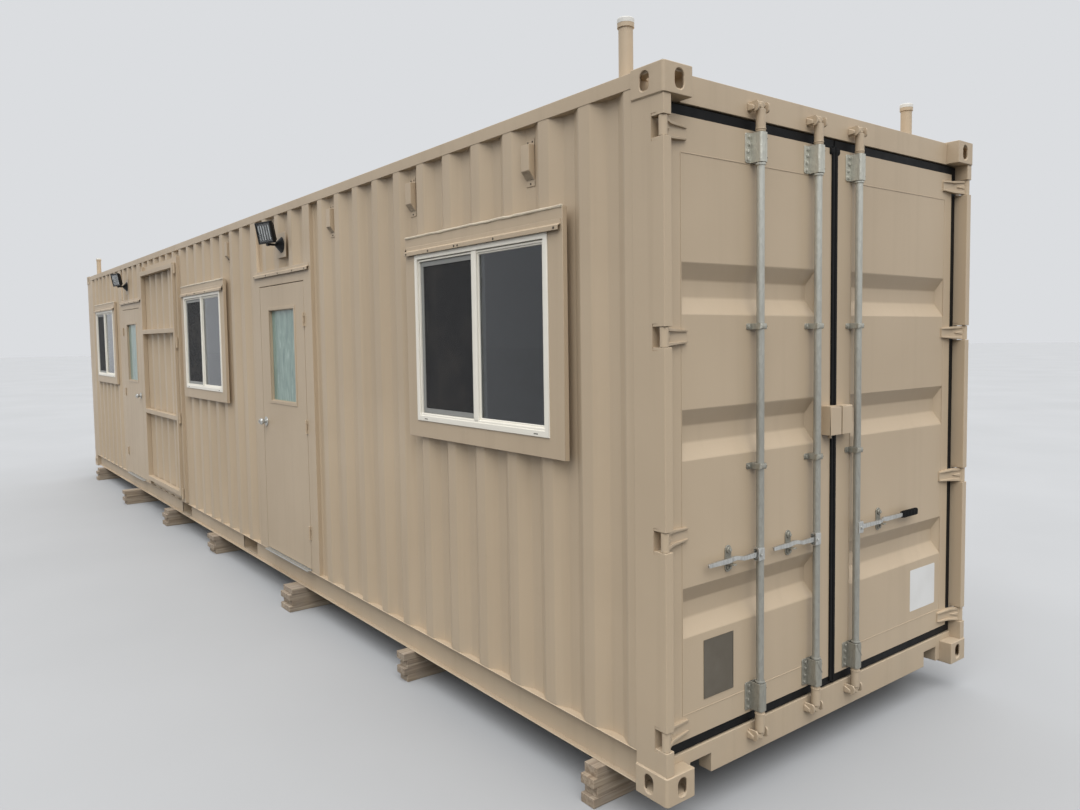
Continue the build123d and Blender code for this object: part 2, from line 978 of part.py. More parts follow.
def gate_sheet():
    """The corrugated sheet behind the gate's frame."""
    leaf = gate_leaf()
    half = gate_width / 2
    points = wave(-half, half, crest_flat, crest_slope, valley_flat, corrugation_depth, gate_tube)
    profile = mirror(corrugated(points, skin_thickness), about=Plane.XZ)
    profile = Pos(from_cargo_end(gate_place), gate_back, leaf.z_low) * profile
    return extrude(profile, gate_height, dir=(0, 0, 1))


class CargoDoor:
    """One cargo door, drawn on the left and mirrored when it is the right one."""

    def __init__(self, side, rods):
        self.side = side
        self.rods = rods
        self.y_low = -width / 2 + opening_side + gasket_gap + gasket_width
        self.y_high = -centre_gap / 2 - centre_gasket
        self.z_low = sill_top + gasket_gap + gasket_width
        self.z_high = header_foot - gasket_gap - gasket_width

    def placed(self, solid):
        """A piece drawn on the left, moved to this door's own side."""
        return solid if self.side < 0 else mirror_y(solid)

    def shell(self):
        """The painted leaf: tube frame, pressed panel, hinge blades and its half of the lock box."""
        y_in = (self.y_low + leaf_stile, self.y_high - centre_stile)
        z_in = (self.z_low + leaf_foot_rail, self.z_high - leaf_head_rail)
        x = leaf_face
        leaf = block(x - leaf_depth, x, self.y_low, self.y_high, self.z_low, self.z_high)
        leaf -= block(x - leaf_depth, x, *y_in, *z_in)
        leaf += self.panel(y_in, z_in)
        for z in hinge_heights():
            leaf += self.blade(z)
        return self.placed(leaf + self.lock_box())

    def panel(self, y_in, z_in):
        """The pressed sheet with its three recessed bands."""
        x = leaf_face
        face = [(z_in[0], x)]
        for place in band_heights:
            z = lift + place
            near = band_flat / 2
            far = near + band_slope
            face += [(z - far, x), (z - near, x - band_depth), (z + near, x - band_depth), (z + far, x)]
        face.append((z_in[1], x))
        back = [(z, x - panel_sheet) for z, x in reversed(face)]
        plane = Plane((0, y_in[0], 0), x_dir=(0, 0, 1), z_dir=(0, 1, 0))
        profile = plane * make_face(Polyline(*face, *back, close=True))
        return extrude(profile, y_in[1] - y_in[0], dir=(0, 1, 0))

    def blade(self, z):
        """One hinge blade: a tapering plate with a fin above, a fin below and a gusset, round the pin."""
        x, y = cargo_pin()
        half = blade_height / 2
        tip = self.y_low + blade_length
        fall = blade_fall
        fin = fin_height
        start = y + hinge_radius
        whole = [(y, -half), (tip, fall - half), (tip, half - fall), (y, half)]
        upper = [(y, half), (y, half - fin), (tip, half - fall - fin / 2), (tip, half - fall)]
        lower = [(y, -half), (y, fin - half), (tip, fall + fin / 2 - half), (tip, fall - half)]
        gusset = [(start, -gusset_height / 2), (start + gusset_length, 0), (start, gusset_height / 2)]
        blade = self.blade_plan(blade_thickness, half, z) & self.blade_side(whole, z)
        for outline in (upper, lower, gusset):
            blade += self.blade_plan(fin_thickness, half, z) & self.blade_side(outline, z)
        blade += upright(hinge_radius, z - half, z + half, x, y)
        return blade - upright(hinge_pin_radius + pin_clearance, z - half, z + half, x, y)

    def blade_plan(self, thickness, half, z):
        """The blade seen from above, between its barrel and its tip on the leaf."""
        x, y = cargo_pin()
        points = [
            (x - hinge_radius, y),
            (leaf_face, self.y_low),
            (leaf_face, self.y_low + blade_length),
            (leaf_face + thickness, self.y_low + blade_length),
            (leaf_face + 2 * thickness, self.y_low),
            (x + thickness / 2, y + hinge_radius / 2),
        ]
        plan = Pos(0, 0, z - half) * make_face(Polyline(*points, close=True))
        return extrude(plan, 2 * half, dir=(0, 0, 1))

    def blade_side(self, outline, z):
        """An outline on the door's face, carried through the depth of the blade."""
        depth = 2 * leaf_inset
        plane = Plane((leaf_face - leaf_inset, 0, z), x_dir=(0, 1, 0), z_dir=(1, 0, 0))
        return extrude(plane * make_face(Polyline(*outline, close=True)), depth, dir=(1, 0, 0))

    def lock_box(self):
        """Half of the lock box over the meeting edges, open below."""
        z = lift + lock_box_level
        half = lock_box_height / 2
        wall = lock_box_wall
        y_low = -lock_box_reach
        y_high = -centre_gap / 2
        x = leaf_face
        front = x + lock_box_depth
        box = block(x, front, y_low, y_high, z - half, z + half)
        side = box.edges().filter_by(Axis.Z).sort_by(lambda edge: edge.center().X - edge.center().Y)[-1]
        head = box.edges().filter_by(Axis.Y).sort_by(lambda edge: edge.center().X + edge.center().Z)[-1]
        box = fillet([side, head], lock_box_round)
        box -= block(x, front - wall, y_low + wall, y_high - wall, z - half, z + half - wall)
        if self.side < 0:
            foot = z - half - lock_stud_drop
            x += lock_box_depth / 2
            box += upright(lock_stud_radius, foot, z + half - wall, x, -lock_stud_place)
        return box

    def gasket(self):
        """The rubber seal round the leaf."""
        x = leaf_face
        wide = gasket_width
        outer = block(
            x - leaf_depth,
            x,
            self.y_low - wide,
            self.y_high + centre_gasket,
            self.z_low - wide,
            self.z_high + wide,
        )
        leaf = block(x - leaf_depth, x, self.y_low, self.y_high, self.z_low, self.z_high)
        return self.placed(outer - leaf)

    def bracket_spans(self):
        """Lowest and highest level of the lower and the upper rod bracket."""
        low = self.z_low + bracket_inset
        high = self.z_high - bracket_inset
        return [(low, low + bracket_height), (high - bracket_height, high)]

    def hardware(self):
        """The rod brackets, clamps and handle catches on this door."""
        pieces = []
        for index in self.rods:
            for z_low, z_high in self.bracket_spans():
                pieces.append(rod_guide(index, bracket_flange, z_low, z_high))
            for place in clamp_heights:
                z = lift + place
                pieces.append(rod_guide(index, clamp_flange, z - clamp_height / 2, z + clamp_height / 2))
            pieces.append(handle_catch(index))
        return pieces


def rod_guide(index, flange, z_low, z_high):
    """A folded guide round a rod with one flange, on the side away from the +Y post."""
    x = leaf_face
    y = rod_y(index)
    wide = rod_radius + rod_clearance + bracket_wall
    cover = block(x, rod_x + wide, y - wide, y + wide, z_low, z_high)
    front = cover.edges().filter_by(Axis.Z).sort_by(Axis.X)[-2:]
    guide = fillet(front, bracket_round)
    guide += block(x, x + bracket_plate, y - flange, y, z_low, z_high)
    return guide - upright(rod_radius + rod_clearance, z_low, z_high, rod_x, y)


def handle_catch(index):
    """The catch that a handle rests in: a plate with round ends, two bosses and a shelf."""
    x = leaf_face
    z = lift + handle_level
    y = rod_y(index) + rod_sides[index] * catch_distances[index]
    plane = Plane((x, y, z), x_dir=(0, 0, 1), z_dir=(1, 0, 0))
    catch = extrude(plane * SlotOverall(catch_height, catch_width), catch_plate)
    place = (catch_height - catch_width) / 2
    for end in (-1, 1):
        catch += extrude(plane * Pos(end * place, 0, 0) * Circle(boss_radius), boss_height)
    half = catch_width / 2
    shelf = z - handle_depth / 2 - catch_gap
    front = rod_x + handle_thickness / 2
    return catch + block(x, front, y - half, y + half, shelf - shelf_thickness, shelf)


def handle_bar(index):
    """The flat bar of a handle, which jogs towards the door at its catch."""
    y = rod_y(index)
    side = rod_sides[index]
    start = y + side * hub_reach / 2
    bend = y + side * (catch_distances[index] - handle_bend)
    middle = y + side * catch_distances[index]
    tip = y + side * handle_reaches[index]
    near = rod_x + handle_jog
    far = rod_x - handle_jog
    line = [(near, start), (near, bend), (far, middle), (far, tip)]
    half = handle_thickness / 2
    front = [(x + half, along) for x, along in line]
    back = [(x - half, along) for x, along in reversed(line)]
    level = lift + handle_level - handle_depth / 2
    plan = Pos(0, 0, level) * make_face(Polyline(*front, *back, close=True))
    return extrude(plan, handle_depth, dir=(0, 0, 1))


def handle_hub(index):
    """The clevis on a rod that holds its handle."""
    side = rod_sides[index]
    near = rod_y(index) - side * hub_back
    far = rod_y(index) + side * hub_reach
    z = lift + handle_level
    half = hub_height / 2
    x_low = rod_x - handle_depth / 2
    hub = block(x_low, rod_x + hub_front, min(near, far), max(near, far), z - half, z + half)
    return fillet(hub.edges().filter_by(Axis.Y), hub_round)


def lock_rod(index):
    """A lock rod with its cams, collars, clevis and handle."""
    y = rod_y(index)
    foot = sill_top - rod_reach
    top = header_foot + rod_reach
    rod = upright(rod_radius, foot, top, rod_x, y)
    half = cam_thickness / 2
    for z in (foot, top - cam_height):
        cam = upright(cam_radius, z, z + cam_height, rod_x, y)
        rod += cam & block(rod_x - half, rod_x + half, y - cam_radius, y + cam_radius, z, z + cam_height)
    (lower_foot, lower_top), (upper_foot, upper_top) = left.bracket_spans()
    rod += upright(cam_neck_radius, foot + cam_height, lower_foot - running_gap, rod_x, y)
    rod += upright(cam_neck_radius, upper_top + running_gap, top - cam_height, rod_x, y)
    for z in (lower_top + running_gap, upper_foot - running_gap - collar_height):
        rod += upright(collar_radius, z, z + collar_height, rod_x, y)
    return rod + handle_hub(index) + handle_bar(index)


def lamp_plate(place):
    """The flat plate on the wall behind a floodlight."""
    x = from_cargo_end(place)
    z = lift + floodlight_level
    half = lamp_plate_width / 2
    tall = lamp_plate_height / 2
    return block(x - half, x + half, -skin_face - lamp_plate_thickness, -skin_face, z - tall, z + tall)


def floodlight(place):
    """A floodlight: a cone on its plate, an arm with a knuckle, and a tilted head with a recessed front."""
    x = from_cargo_end(place)
    z = lift + floodlight_level
    face = -skin_face - lamp_plate_thickness
    out = Plane((x, face, z), x_dir=(1, 0, 0), z_dir=(0, -1, 0))
    seated = (Align.CENTER, Align.CENTER, Align.MIN)
    canopy = out * Cone(canopy_radius, canopy_tip, canopy_depth, align=seated)
    light = canopy + turned(x, face, z, arm_radius, lamp_reach)
    light += Pos(x, face - lamp_reach, z) * Rot(0, 90, 0) * Cylinder(knuckle_radius, knuckle_width)
    head = Box(lamp_width, lamp_depth, lamp_height)
    head = chamfer(head.edges().group_by(Axis.Y)[-1], lamp_taper)
    pocket = Box(lamp_width - 2 * lamp_rim, lamp_recess, lamp_height - 2 * lamp_rim)
    head -= Pos(0, (lamp_recess - lamp_depth) / 2, 0) * pocket
    turn = Rot(0, 0, lamp_turn) * Rot(lamp_tilt, 0, 0)
    rise = knuckle_radius / 2 + lamp_height / 2
    return light + Pos(x, face - lamp_reach, z) * turn * Pos(0, 0, rise) * head


def valley_place(index):
    """Distance from the cargo doors to the middle of a valley of the long wall."""
    pitch = crest_flat + 2 * crest_slope + valley_flat
    return corrugation_margin + crest_slope + valley_flat / 2 + index * pitch


def wall_vent(index):
    """A small hooded vent in a valley of the front wall, between two flanges, open at its sloping foot."""
    x = from_cargo_end(valley_place(index))
    face = -skin_face
    foot = lift + vent_foot
    floor = corrugation_depth
    flange = floor - vent_sheet
    hood_top = vent_height - vent_flange
    half = vent_width / 2
    points = [
        (floor, 0),
        (flange, 0),
        (flange, vent_flange),
        (0, vent_flange + vent_slope),
        (0, hood_top),
        (flange, hood_top),
        (flange, vent_height),
        (floor, vent_height),
    ]
    plane = Plane((x - half, face, foot), x_dir=(0, 1, 0), z_dir=(1, 0, 0))
    hood = extrude(plane * make_face(Polyline(*points, close=True)), vent_width, dir=(1, 0, 0))
    half -= vent_sheet
    roof = foot + hood_top - vent_sheet
    return hood - block(x - half, x + half, face + vent_sheet, face + flange, foot, roof)


def pipe_x():
    """X of the vent pipes at the cargo end."""
    return length / 2 - pipe_from_end


def pipe_y():
    """Y of the vent pipes at the back."""
    return width / 2 - pipe_from_side


def vent_pipe(x, y):
    """A vent pipe through the roof with its domed cap."""
    top = lift + pipe_top
    pipe = upright(pipe_radius, ceiling_top, top, x, y)
    pipe -= upright(pipe_radius - pipe_wall, ceiling_top, top, x, y)
    cap = upright(cap_radius, top + seat_gap, top + cap_rise, x, y)
    return [pipe, fillet(cap.edges().sort_by(Axis.Z)[-1], cap_rise / 3)]


def blocking_boards(layer):
    """The boards of one layer of every block under the front rail."""
    boards = []
    low = board_thickness * layer
    for index, (place, wide, reach) in enumerate(block_places):
        x = from_cargo_end(place)
        y = -side_face - reach + board_step * ((index + layer) % 2)
        boards.append(block(x - wide / 2, x + wide / 2, y, y + board_length, low, low + board_thickness))
    return boards


def both_sides(solids):
    """Pieces at the front and their mirror images at the back."""
    return list(solids) + [mirror_y(solid) for solid in solids]


os.makedirs("parts", exist_ok=True)

save("corner_castings_bottom", four_corners(casting(False)))
save("corner_castings_top", four_corners(casting(True)))
save("cargo_end_posts", both_sides([cargo_post()]))
save("far_end_frame", far_end_frame())
save("bottom_side_rails", both_sides([bottom_rail()]))
save("top_side_rails", both_sides([top_rail()]))
save("door_beams", [door_header(), door_sill()])
save("cam_keepers", cam_keepers())
save("cross_members", [cross_member(x) for x in cross_member_places()])
save("fork_pockets", [fork_pocket(side * pocket_spacing / 2) for side in (-1, 1)])
save("floor_deck", [floor_deck()])
save("front_wall_skin", front_skin().solids())
save("rear_wall_skin", [rear_skin()])
save("far_end_skin", [far_skin()])
save("roof_skin", roof_skin().solids())
save("front_lining", front_lining())
save("rear_lining", [rear_lining() + far_lining()])
save("ceiling_lining", [ceiling_lining()])
save("window_frames", [window_frame(hole) for hole in window_holes()])
save("window_glass", [pane for hole in window_holes() for pane in window_panes(hole)])
save("window_surrounds", [window_surround(hole) for hole in window_holes()])
save("gate_surround", [gate_surround()])
save("gate_frame", [gate_frame()])
save("gate_sheet", [gate_sheet()])
save("floodlights", [floodlight(place) for place in floodlight_places])
save("wall_vents", [wall_vent(index) for index in vent_valleys])
save("thresholds", [threshold(index) for index in range(len(door_places))])
frames = [door_frame(index) for index in range(len(door_places))]
save("door_frames", frames + [lamp_plate(place) for place in floodlight_places])
for index in range(len(door_places)):
    save(f"door_{index + 1}_leaf", [door_leaf(index)])
    save(f"door_{index + 1}_glass", [door_glass(index)])
    save(f"door_{index + 1}_handle", [door_knob(index)])

left = CargoDoor(-1, [0, 1])
right = CargoDoor(1, [2])
for name, door in (("left", left), ("right", right)):
    save(f"cargo_door_{name}", [door.shell()])
    save(f"cargo_door_{name}_gasket", [door.gasket()])
    save(f"cargo_door_{name}_hardware", door.hardware())
for index in range(len(rod_places)):
    save(f"lock_rod_{index + 1}", [lock_rod(index)])

pipes = [vent_pipe(x, y) for x in (-pipe_x(), pipe_x()) for y in (-pipe_y(), pipe_y())]
save("vent_pipes", [solid for pipe in pipes for solid in pipe])
save("blocking_boards_lower", both_sides(blocking_boards(0) + blocking_boards(2)))
save("blocking_boards_upper", both_sides(blocking_boards(1) + blocking_boards(3)))
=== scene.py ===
"""The looks of a forty-foot shipping container fitted out as a cabin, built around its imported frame.

Metres. X runs along the container with the cargo doors at +X, the windows face -Y, and Z is up from the level
ground under the timber blocking.
"""

import logging
import math
from contextlib import contextmanager
from dataclasses import dataclass
from enum import Enum, IntEnum
from functools import cache
from typing import Callable, Iterator, Sequence

import bmesh
import bpy
from mathutils import Matrix, Vector


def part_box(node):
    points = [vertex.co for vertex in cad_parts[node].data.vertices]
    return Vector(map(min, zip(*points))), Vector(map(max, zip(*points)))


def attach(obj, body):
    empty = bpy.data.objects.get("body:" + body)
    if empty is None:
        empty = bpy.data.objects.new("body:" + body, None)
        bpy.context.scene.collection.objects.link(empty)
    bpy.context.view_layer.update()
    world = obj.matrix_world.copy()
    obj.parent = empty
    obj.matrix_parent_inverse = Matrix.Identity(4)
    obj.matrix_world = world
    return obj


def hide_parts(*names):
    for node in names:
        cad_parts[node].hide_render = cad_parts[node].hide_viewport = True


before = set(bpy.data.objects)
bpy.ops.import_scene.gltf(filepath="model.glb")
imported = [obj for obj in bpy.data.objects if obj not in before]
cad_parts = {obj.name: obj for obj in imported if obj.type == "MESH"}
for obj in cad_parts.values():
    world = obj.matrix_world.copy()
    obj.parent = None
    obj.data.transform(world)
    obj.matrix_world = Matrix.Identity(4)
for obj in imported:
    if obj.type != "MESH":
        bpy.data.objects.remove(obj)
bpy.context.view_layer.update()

log = logging.getLogger("cabin")
Numbers = Sequence[float]
Colour = tuple[float, float, float, float]
Edge, Face = bmesh.types.BMEdge, bmesh.types.BMFace
EdgeTest, FaceTest = Callable[[Edge], bool], Callable[[Face], bool]
Material, Node, Socket, Tree = bpy.types.Material, bpy.types.Node, bpy.types.NodeSocket, bpy.types.NodeTree
MERGE = 0.00005
FLAT_ANGLE = 0.5
SMOOTH_ANGLE = 35.0
ALIGNED = 0.98
PARALLEL = 0.99
WINDOWS = (1.288, 6.065, 10.85)
FRONT_DOORS = (4.034, 9.265)
FLOODLIGHTS = (3.965, 9.4)


class Body(Enum):
    """The moving bodies of the cabin."""

    CABIN = "cabin"
    LEFT_DOOR = "left_cargo_door"
    RIGHT_DOOR = "right_cargo_door"
    ROD_1 = "lock_rod_one"
    ROD_2 = "lock_rod_two"
    ROD_3 = "lock_rod_three"
    FRONT_DOOR_1 = "front_door_one"
    FRONT_DOOR_2 = "front_door_two"
    KNOB_1 = "handle_one"
    KNOB_2 = "handle_two"
    GATE = "side_gate"


class Slot(Enum):
    """The material slots of the record."""

    PAINT = "beige_paint"
    ZINC = "galvanised"
    PLYWOOD = "plywood"
    TIMBER = "timber"
    BOARD = "lining_board"
    VINYL = "white_vinyl"
    PANE = "window_pane"
    RUBBER = "black_rubber"
    LAMP = "black_lamp"
    BRIGHT = "bright_metal"


class Axis(IntEnum):
    """The directions of the frame, counted as in a place."""

    X = 0
    Y = 1
    Z = 2


LAID_ALONG = {Axis.X: (0.0, math.pi / 2, 0.0), Axis.Y: (math.pi / 2, 0.0, 0.0), Axis.Z: (0.0, 0.0, 0.0)}


def span(edge: Edge, axis: Axis) -> float:
    """How far apart an edge's ends lie along an axis."""
    return abs(edge.verts[0].co[axis] - edge.verts[1].co[axis])


def sharp(edge: Edge, angle: float) -> bool:
    """True for an edge between two faces that meet at more than an angle."""
    return len(edge.link_faces) == 2 and edge.calc_face_angle(0.0) > math.radians(angle)


def crisp(angle: float, least: float = 0.0) -> EdgeTest:
    """A test for edges that are sharper than an angle and longer than a length."""
    return lambda edge: sharp(edge, angle) and edge.calc_length() > least


def along(axis: Axis, least: float) -> EdgeTest:
    """A test for edges that reach further than a length along an axis."""
    return lambda edge: span(edge, axis) > least


def past(axis: Axis, place: float) -> EdgeTest:
    """A test for edges that lie wholly past a place on an axis."""
    return lambda edge: all(vert.co[axis] > place for vert in edge.verts)


def beside(test: FaceTest) -> EdgeTest:
    """A test for edges beside a face that passes a test."""
    return lambda edge: any(test(face) for face in edge.link_faces)


def every(*tests: EdgeTest) -> EdgeTest:
    """A test for edges that pass several tests."""
    return lambda edge: all(test(edge) for test in tests)


def facing(*direction: float) -> FaceTest:
    """A test for faces that look along a direction."""
    return lambda face: face.normal.dot(Vector(direction)) > ALIGNED


def any_face(face: Face) -> bool:
    """True for every face."""
    return True


def folds(direction: Numbers, low: float = 12.0, high: float = 75.0, least: float = 0.02) -> EdgeTest:
    """A test for the folds of a sheet that run along a direction.

    Args:
        direction: The direction of the folds.
        low: The least angle of a fold, in degrees.
        high: The greatest angle of a fold.
        least: The least length of a fold.

    Returns:
        The test.
    """

    def wanted(edge: Edge) -> bool:
        """True for such a fold."""
        run = (edge.verts[1].co - edge.verts[0].co).normalized()
        lies = abs(run.dot(Vector(direction))) > PARALLEL and edge.calc_length() >= least
        return lies and len(edge.link_faces) == 2 and low < math.degrees(edge.calc_face_angle(0.0)) < high

    return wanted


def put_down() -> None:
    """Goes back to object mode and deselects everything."""
    if bpy.context.mode != "OBJECT":
        bpy.ops.object.mode_set(mode="OBJECT")
    for thing in bpy.context.selected_objects:
        thing.select_set(False)


def pick_up(thing: bpy.types.Object) -> None:
    """Selects one object alone and makes it the active one.

    Args:
        thing: The object.
    """
    put_down()
    thing.hide_viewport = False
    thing.select_set(True)
    bpy.context.view_layer.objects.active = thing


class Workpiece:
    """One mesh on the bench, started from a primitive or a frame node and shaped in edit mode."""

    def __init__(self, thing: bpy.types.Object, name: str) -> None:
        """Takes over an object and gives it its name.

        Args:
            thing: The object.
            name: The name.
        """
        self.thing = thing
        thing.name = name
        thing.data.name = name

    @classmethod
    def settled(cls, name: str) -> "Workpiece":
        """Bakes the new primitive's place into its mesh and wraps it."""
        bpy.ops.object.transform_apply(location=True, rotation=True, scale=True)
        return cls(bpy.context.object, name)

    @classmethod
    def block(cls, name: str, x: Numbers, y: Numbers, z: Numbers) -> "Workpiece":
        """Starts from a cube.

        Args:
            name: The piece's name.
            x: Its ends along X, in either order.
            y: Its ends along Y.
            z: Its ends along Z.

        Returns:
            The workpiece.
        """
        put_down()
        low, high = (Vector(corner) for corner in zip(sorted(x), sorted(y), sorted(z)))
        bpy.ops.mesh.primitive_cube_add(size=1, location=(low + high) / 2, scale=high - low)
        return cls.settled(name)

    @classmethod
    def drum(
        cls, name: str, centre: Numbers, radius: float, length: float, axis: Axis = Axis.Z, sides: int = 24
    ) -> "Workpiece":
        """Starts from a cylinder.

        Args:
            name: The piece's name.
            centre: The middle of its axis.
            radius: Its radius.
            length: Its length.
            axis: The direction it runs along.
            sides: The number of its sides.

        Returns:
            The workpiece.
        """
        put_down()
        bpy.ops.mesh.primitive_cylinder_add(
            vertices=sides, radius=radius, depth=length, location=centre, rotation=LAID_ALONG[axis]
        )
        return cls.settled(name)

    @classmethod
    def ball(cls, name: str, centre: Numbers, radius: float, segments: int, scale: Numbers) -> "Workpiece":
        """Starts from a sphere and squeezes it.

        Args:
            name: The piece's name.
            centre: Its middle.
            radius: Its radius.
            segments: The number of its meridians.
            scale: The shares of its size to keep along X, Y and Z.

        Returns:
            The workpiece.
        """
        put_down()
        bpy.ops.mesh.primitive_uv_sphere_add(
            segments=segments, ring_count=segments // 2, radius=radius, location=centre
        )
        return cls.settled(name).reshaped(any_face, scale, center_override=centre)

    @classmethod
    def ring(
        cls, name: str, x: Numbers, y: Numbers, z: Numbers, border: float, axis: Axis = Axis.Y
    ) -> "Workpiece":
        """A block with a rectangular opening along an axis and a border left round it."""
        return cls.block(name, x, y, z).opened(axis, border)

    @classmethod
    def strap(cls, name: str, path: Sequence[tuple[float, float, float, float]], half: float) -> "Workpiece":
        """Draws a flat bar from place to place along Y.

        Args:
            name: The piece's name.
            path: The places along its middle, each with half the bar's height there.
            half: Half its thickness along X.

        Returns:
            The workpiece.
        """
        (x, y, z, reach), (next_x, next_y, next_z, next_reach) = path[:2]
        piece = cls.block(name, (x - half, x + half), (y, next_y), (z - reach, z + reach))
        with piece.edit():
            piece.faces(facing(0, math.copysign(1, next_y - y), 0))
            bpy.ops.transform.translate(value=(next_x - x, 0.0, next_z - z))
            bpy.ops.transform.resize(value=(1, 1, next_reach / reach), center_override=(next_x, next_y, next_z))
            for before, after in zip(path[1:], path[2:]):
                step = tuple(after[index] - before[index] for index in range(3))
                bpy.ops.mesh.extrude_region_move(TRANSFORM_OT_translate={"value": step})
                bpy.ops.transform.resize(value=(1, 1, after[3] / before[3]), center_override=after[:3])
        return piece

    @classmethod
    def from_node(cls, name: str, node: str) -> "Workpiece":
        """Starts from a copy of a frame node, with its triangles merged and its flat faces made whole.

        Args:
            name: The piece's name.
            node: The frame node to copy.

        Returns:
            The workpiece.
        """
        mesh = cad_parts[node].data.copy()
        mesh.materials.clear()
        thing = bpy.data.objects.new(name, mesh)
        bpy.context.scene.collection.objects.link(thing)
        piece = cls(thing, name)
        with piece.edit():
            bpy.ops.mesh.select_all(action="SELECT")
            bpy.ops.mesh.remove_doubles(threshold=MERGE)
            bpy.ops.mesh.dissolve_limited(angle_limit=math.radians(FLAT_ANGLE))
        return piece

    @contextmanager
    def edit(self) -> Iterator[None]:
        """Opens the piece in edit mode with nothing selected, and closes it again."""
        pick_up(self.thing)
        bpy.ops.object.mode_set(mode="EDIT")
        bpy.ops.mesh.select_mode(type="FACE")
        bpy.ops.mesh.select_all(action="DESELECT")
        yield
        bpy.ops.object.mode_set(mode="OBJECT")

    def select(self, kind: str, wanted: EdgeTest | FaceTest) -> None:
        """Selects, in edit mode, the edges or faces that pass a test and no others.

        Args:
            kind: "edges" or "faces".
            wanted: The test.
        """
        bpy.ops.mesh.select_mode(type=kind[:4].upper())
        bpy.ops.mesh.select_all(action="DESELECT")
        for part in getattr(bmesh.from_edit_mesh(self.thing.data), kind):
            if wanted(part):
                part.select_set(True)
        bmesh.update_edit_mesh(self.thing.data)

    def faces(self, wanted: FaceTest) -> None:
        """Selects, in edit mode, the faces that pass a test and no others."""
        self.select("faces", wanted)

    def edges(self, wanted: EdgeTest) -> None:
        """Selects, in edit mode, the edges that pass a test and no others."""
        self.select("edges", wanted)

    def round_edges(self, width: float, segments: int, wanted: EdgeTest) -> "Workpiece":
        """Bevels the edges that pass a test.

        Args:
            width: How far the bevel reaches on each side.
            segments: The number of its facets.
            wanted: The test that an edge passes.

        Returns:
            The same workpiece.
        """
        with self.edit():
            self.edges(wanted)
            bpy.ops.mesh.bevel(
                offset=width, offset_type="OFFSET", segments=segments, affect="EDGES", clamp_overlap=False
            )
        return self

    def stepped(self, wanted: FaceTest, *steps: tuple[float, Numbers]) -> "Workpiece":
        """Insets and moves the faces that pass a test, step by step.

        Args:
            wanted: The test that a face passes.
            *steps: For each step its border and the shift of what lies inside it.

        Returns:
            The same workpiece.
        """
        with self.edit():
            self.faces(wanted)
            for border, shift in steps:
                if border:
                    bpy.ops.mesh.inset(thickness=border, use_individual=False)
                if any(shift):
                    bpy.ops.mesh.extrude_region_move(TRANSFORM_OT_translate={"value": tuple(shift)})
        return self

    def ribbed(self, height: float, wanted: FaceTest) -> "Workpiece":
        """Raises the faces that pass a test by a little along their own normals.

        Args:
            height: How far they rise.
            wanted: The test that a face passes.

        Returns:
            The same workpiece.
        """
        with self.edit():
            self.faces(wanted)
            bpy.ops.mesh.extrude_region_shrink_fatten(TRANSFORM_OT_shrink_fatten={"value": height})
        return self

    def reshaped(
        self, wanted: FaceTest, scale: Numbers, shift: Numbers = (0, 0, 0), **pivot: Numbers
    ) -> "Workpiece":
        """Resizes and shifts the faces that pass a test.

        Args:
            wanted: The test that a face passes.
            scale: The factors along X, Y and Z.
            shift: How far they then move.
            **pivot: The centre_override of the resizing, where it isn't their own middle.

        Returns:
            The same workpiece.
        """
        with self.edit():
            self.faces(wanted)
            bpy.ops.transform.resize(value=scale, **pivot)
            if any(shift):
                bpy.ops.transform.translate(value=shift)
        return self

    def opened(self, axis: Axis, border: float) -> "Workpiece":
        """Cuts an opening right through along an axis and leaves a border round it.

        Args:
            axis: The direction of the opening.
            border: The width of what stays round it.

        Returns:
            The same workpiece.
        """
        with self.edit():
            self.faces(lambda face: abs(face.normal[axis]) > ALIGNED)
            bpy.ops.mesh.inset(thickness=border, use_individual=True)
            bpy.ops.mesh.bridge_edge_loops()
        return self

    def softened(self, width: float, angle: float) -> "Workpiece":
        """Breaks sharp edges with a bevel that keeps clear of its neighbours.

        Args:
            width: The width of the bevel.
            angle: The least angle of an edge, in degrees.

        Returns:
            The same workpiece.
        """
        pick_up(self.thing)
        bevel = self.thing.modifiers.new("edges", "BEVEL")
        bevel.width = width
        bevel.segments = 1
        bevel.limit_method = "ANGLE"
        bevel.angle_limit = math.radians(angle)
        bpy.ops.object.modifier_apply(modifier=bevel.name)
        return self

    def placed(self, name: str, matrix: Matrix) -> "Workpiece":
        """A copy of this piece, with a mesh of its own, moved by a matrix.

        Args:
            name: The copy's name.
            matrix: Where it goes.

        Returns:
            The copy.
        """
        copy = bpy.data.objects.new(name, self.thing.data.copy())
        bpy.context.scene.collection.objects.link(copy)
        copy.data.transform(matrix)
        return Workpiece(copy, name)

    def join(self, others: "Sequence[Workpiece]") -> "Workpiece":
        """Makes other workpieces part of this one.

        Args:
            others: The other workpieces.

        Returns:
            The same workpiece.
        """
        pick_up(self.thing)
        for other in others:
            other.thing.select_set(True)
        if others:
            bpy.ops.object.join()
        return self

    def shade(self) -> None:
        """Shades soft edges smooth and keeps large flat faces flat beside their rounded edges."""
        pick_up(self.thing)
        bpy.ops.object.shade_smooth_by_angle(angle=math.radians(SMOOTH_ANGLE))
        weighted = self.thing.modifiers.new("flat_faces", "WEIGHTED_NORMAL")
        weighted.mode = "FACE_AREA"
        weighted.weight = 50
        weighted.keep_sharp = True
        bpy.ops.object.modifier_apply(modifier=weighted.name)

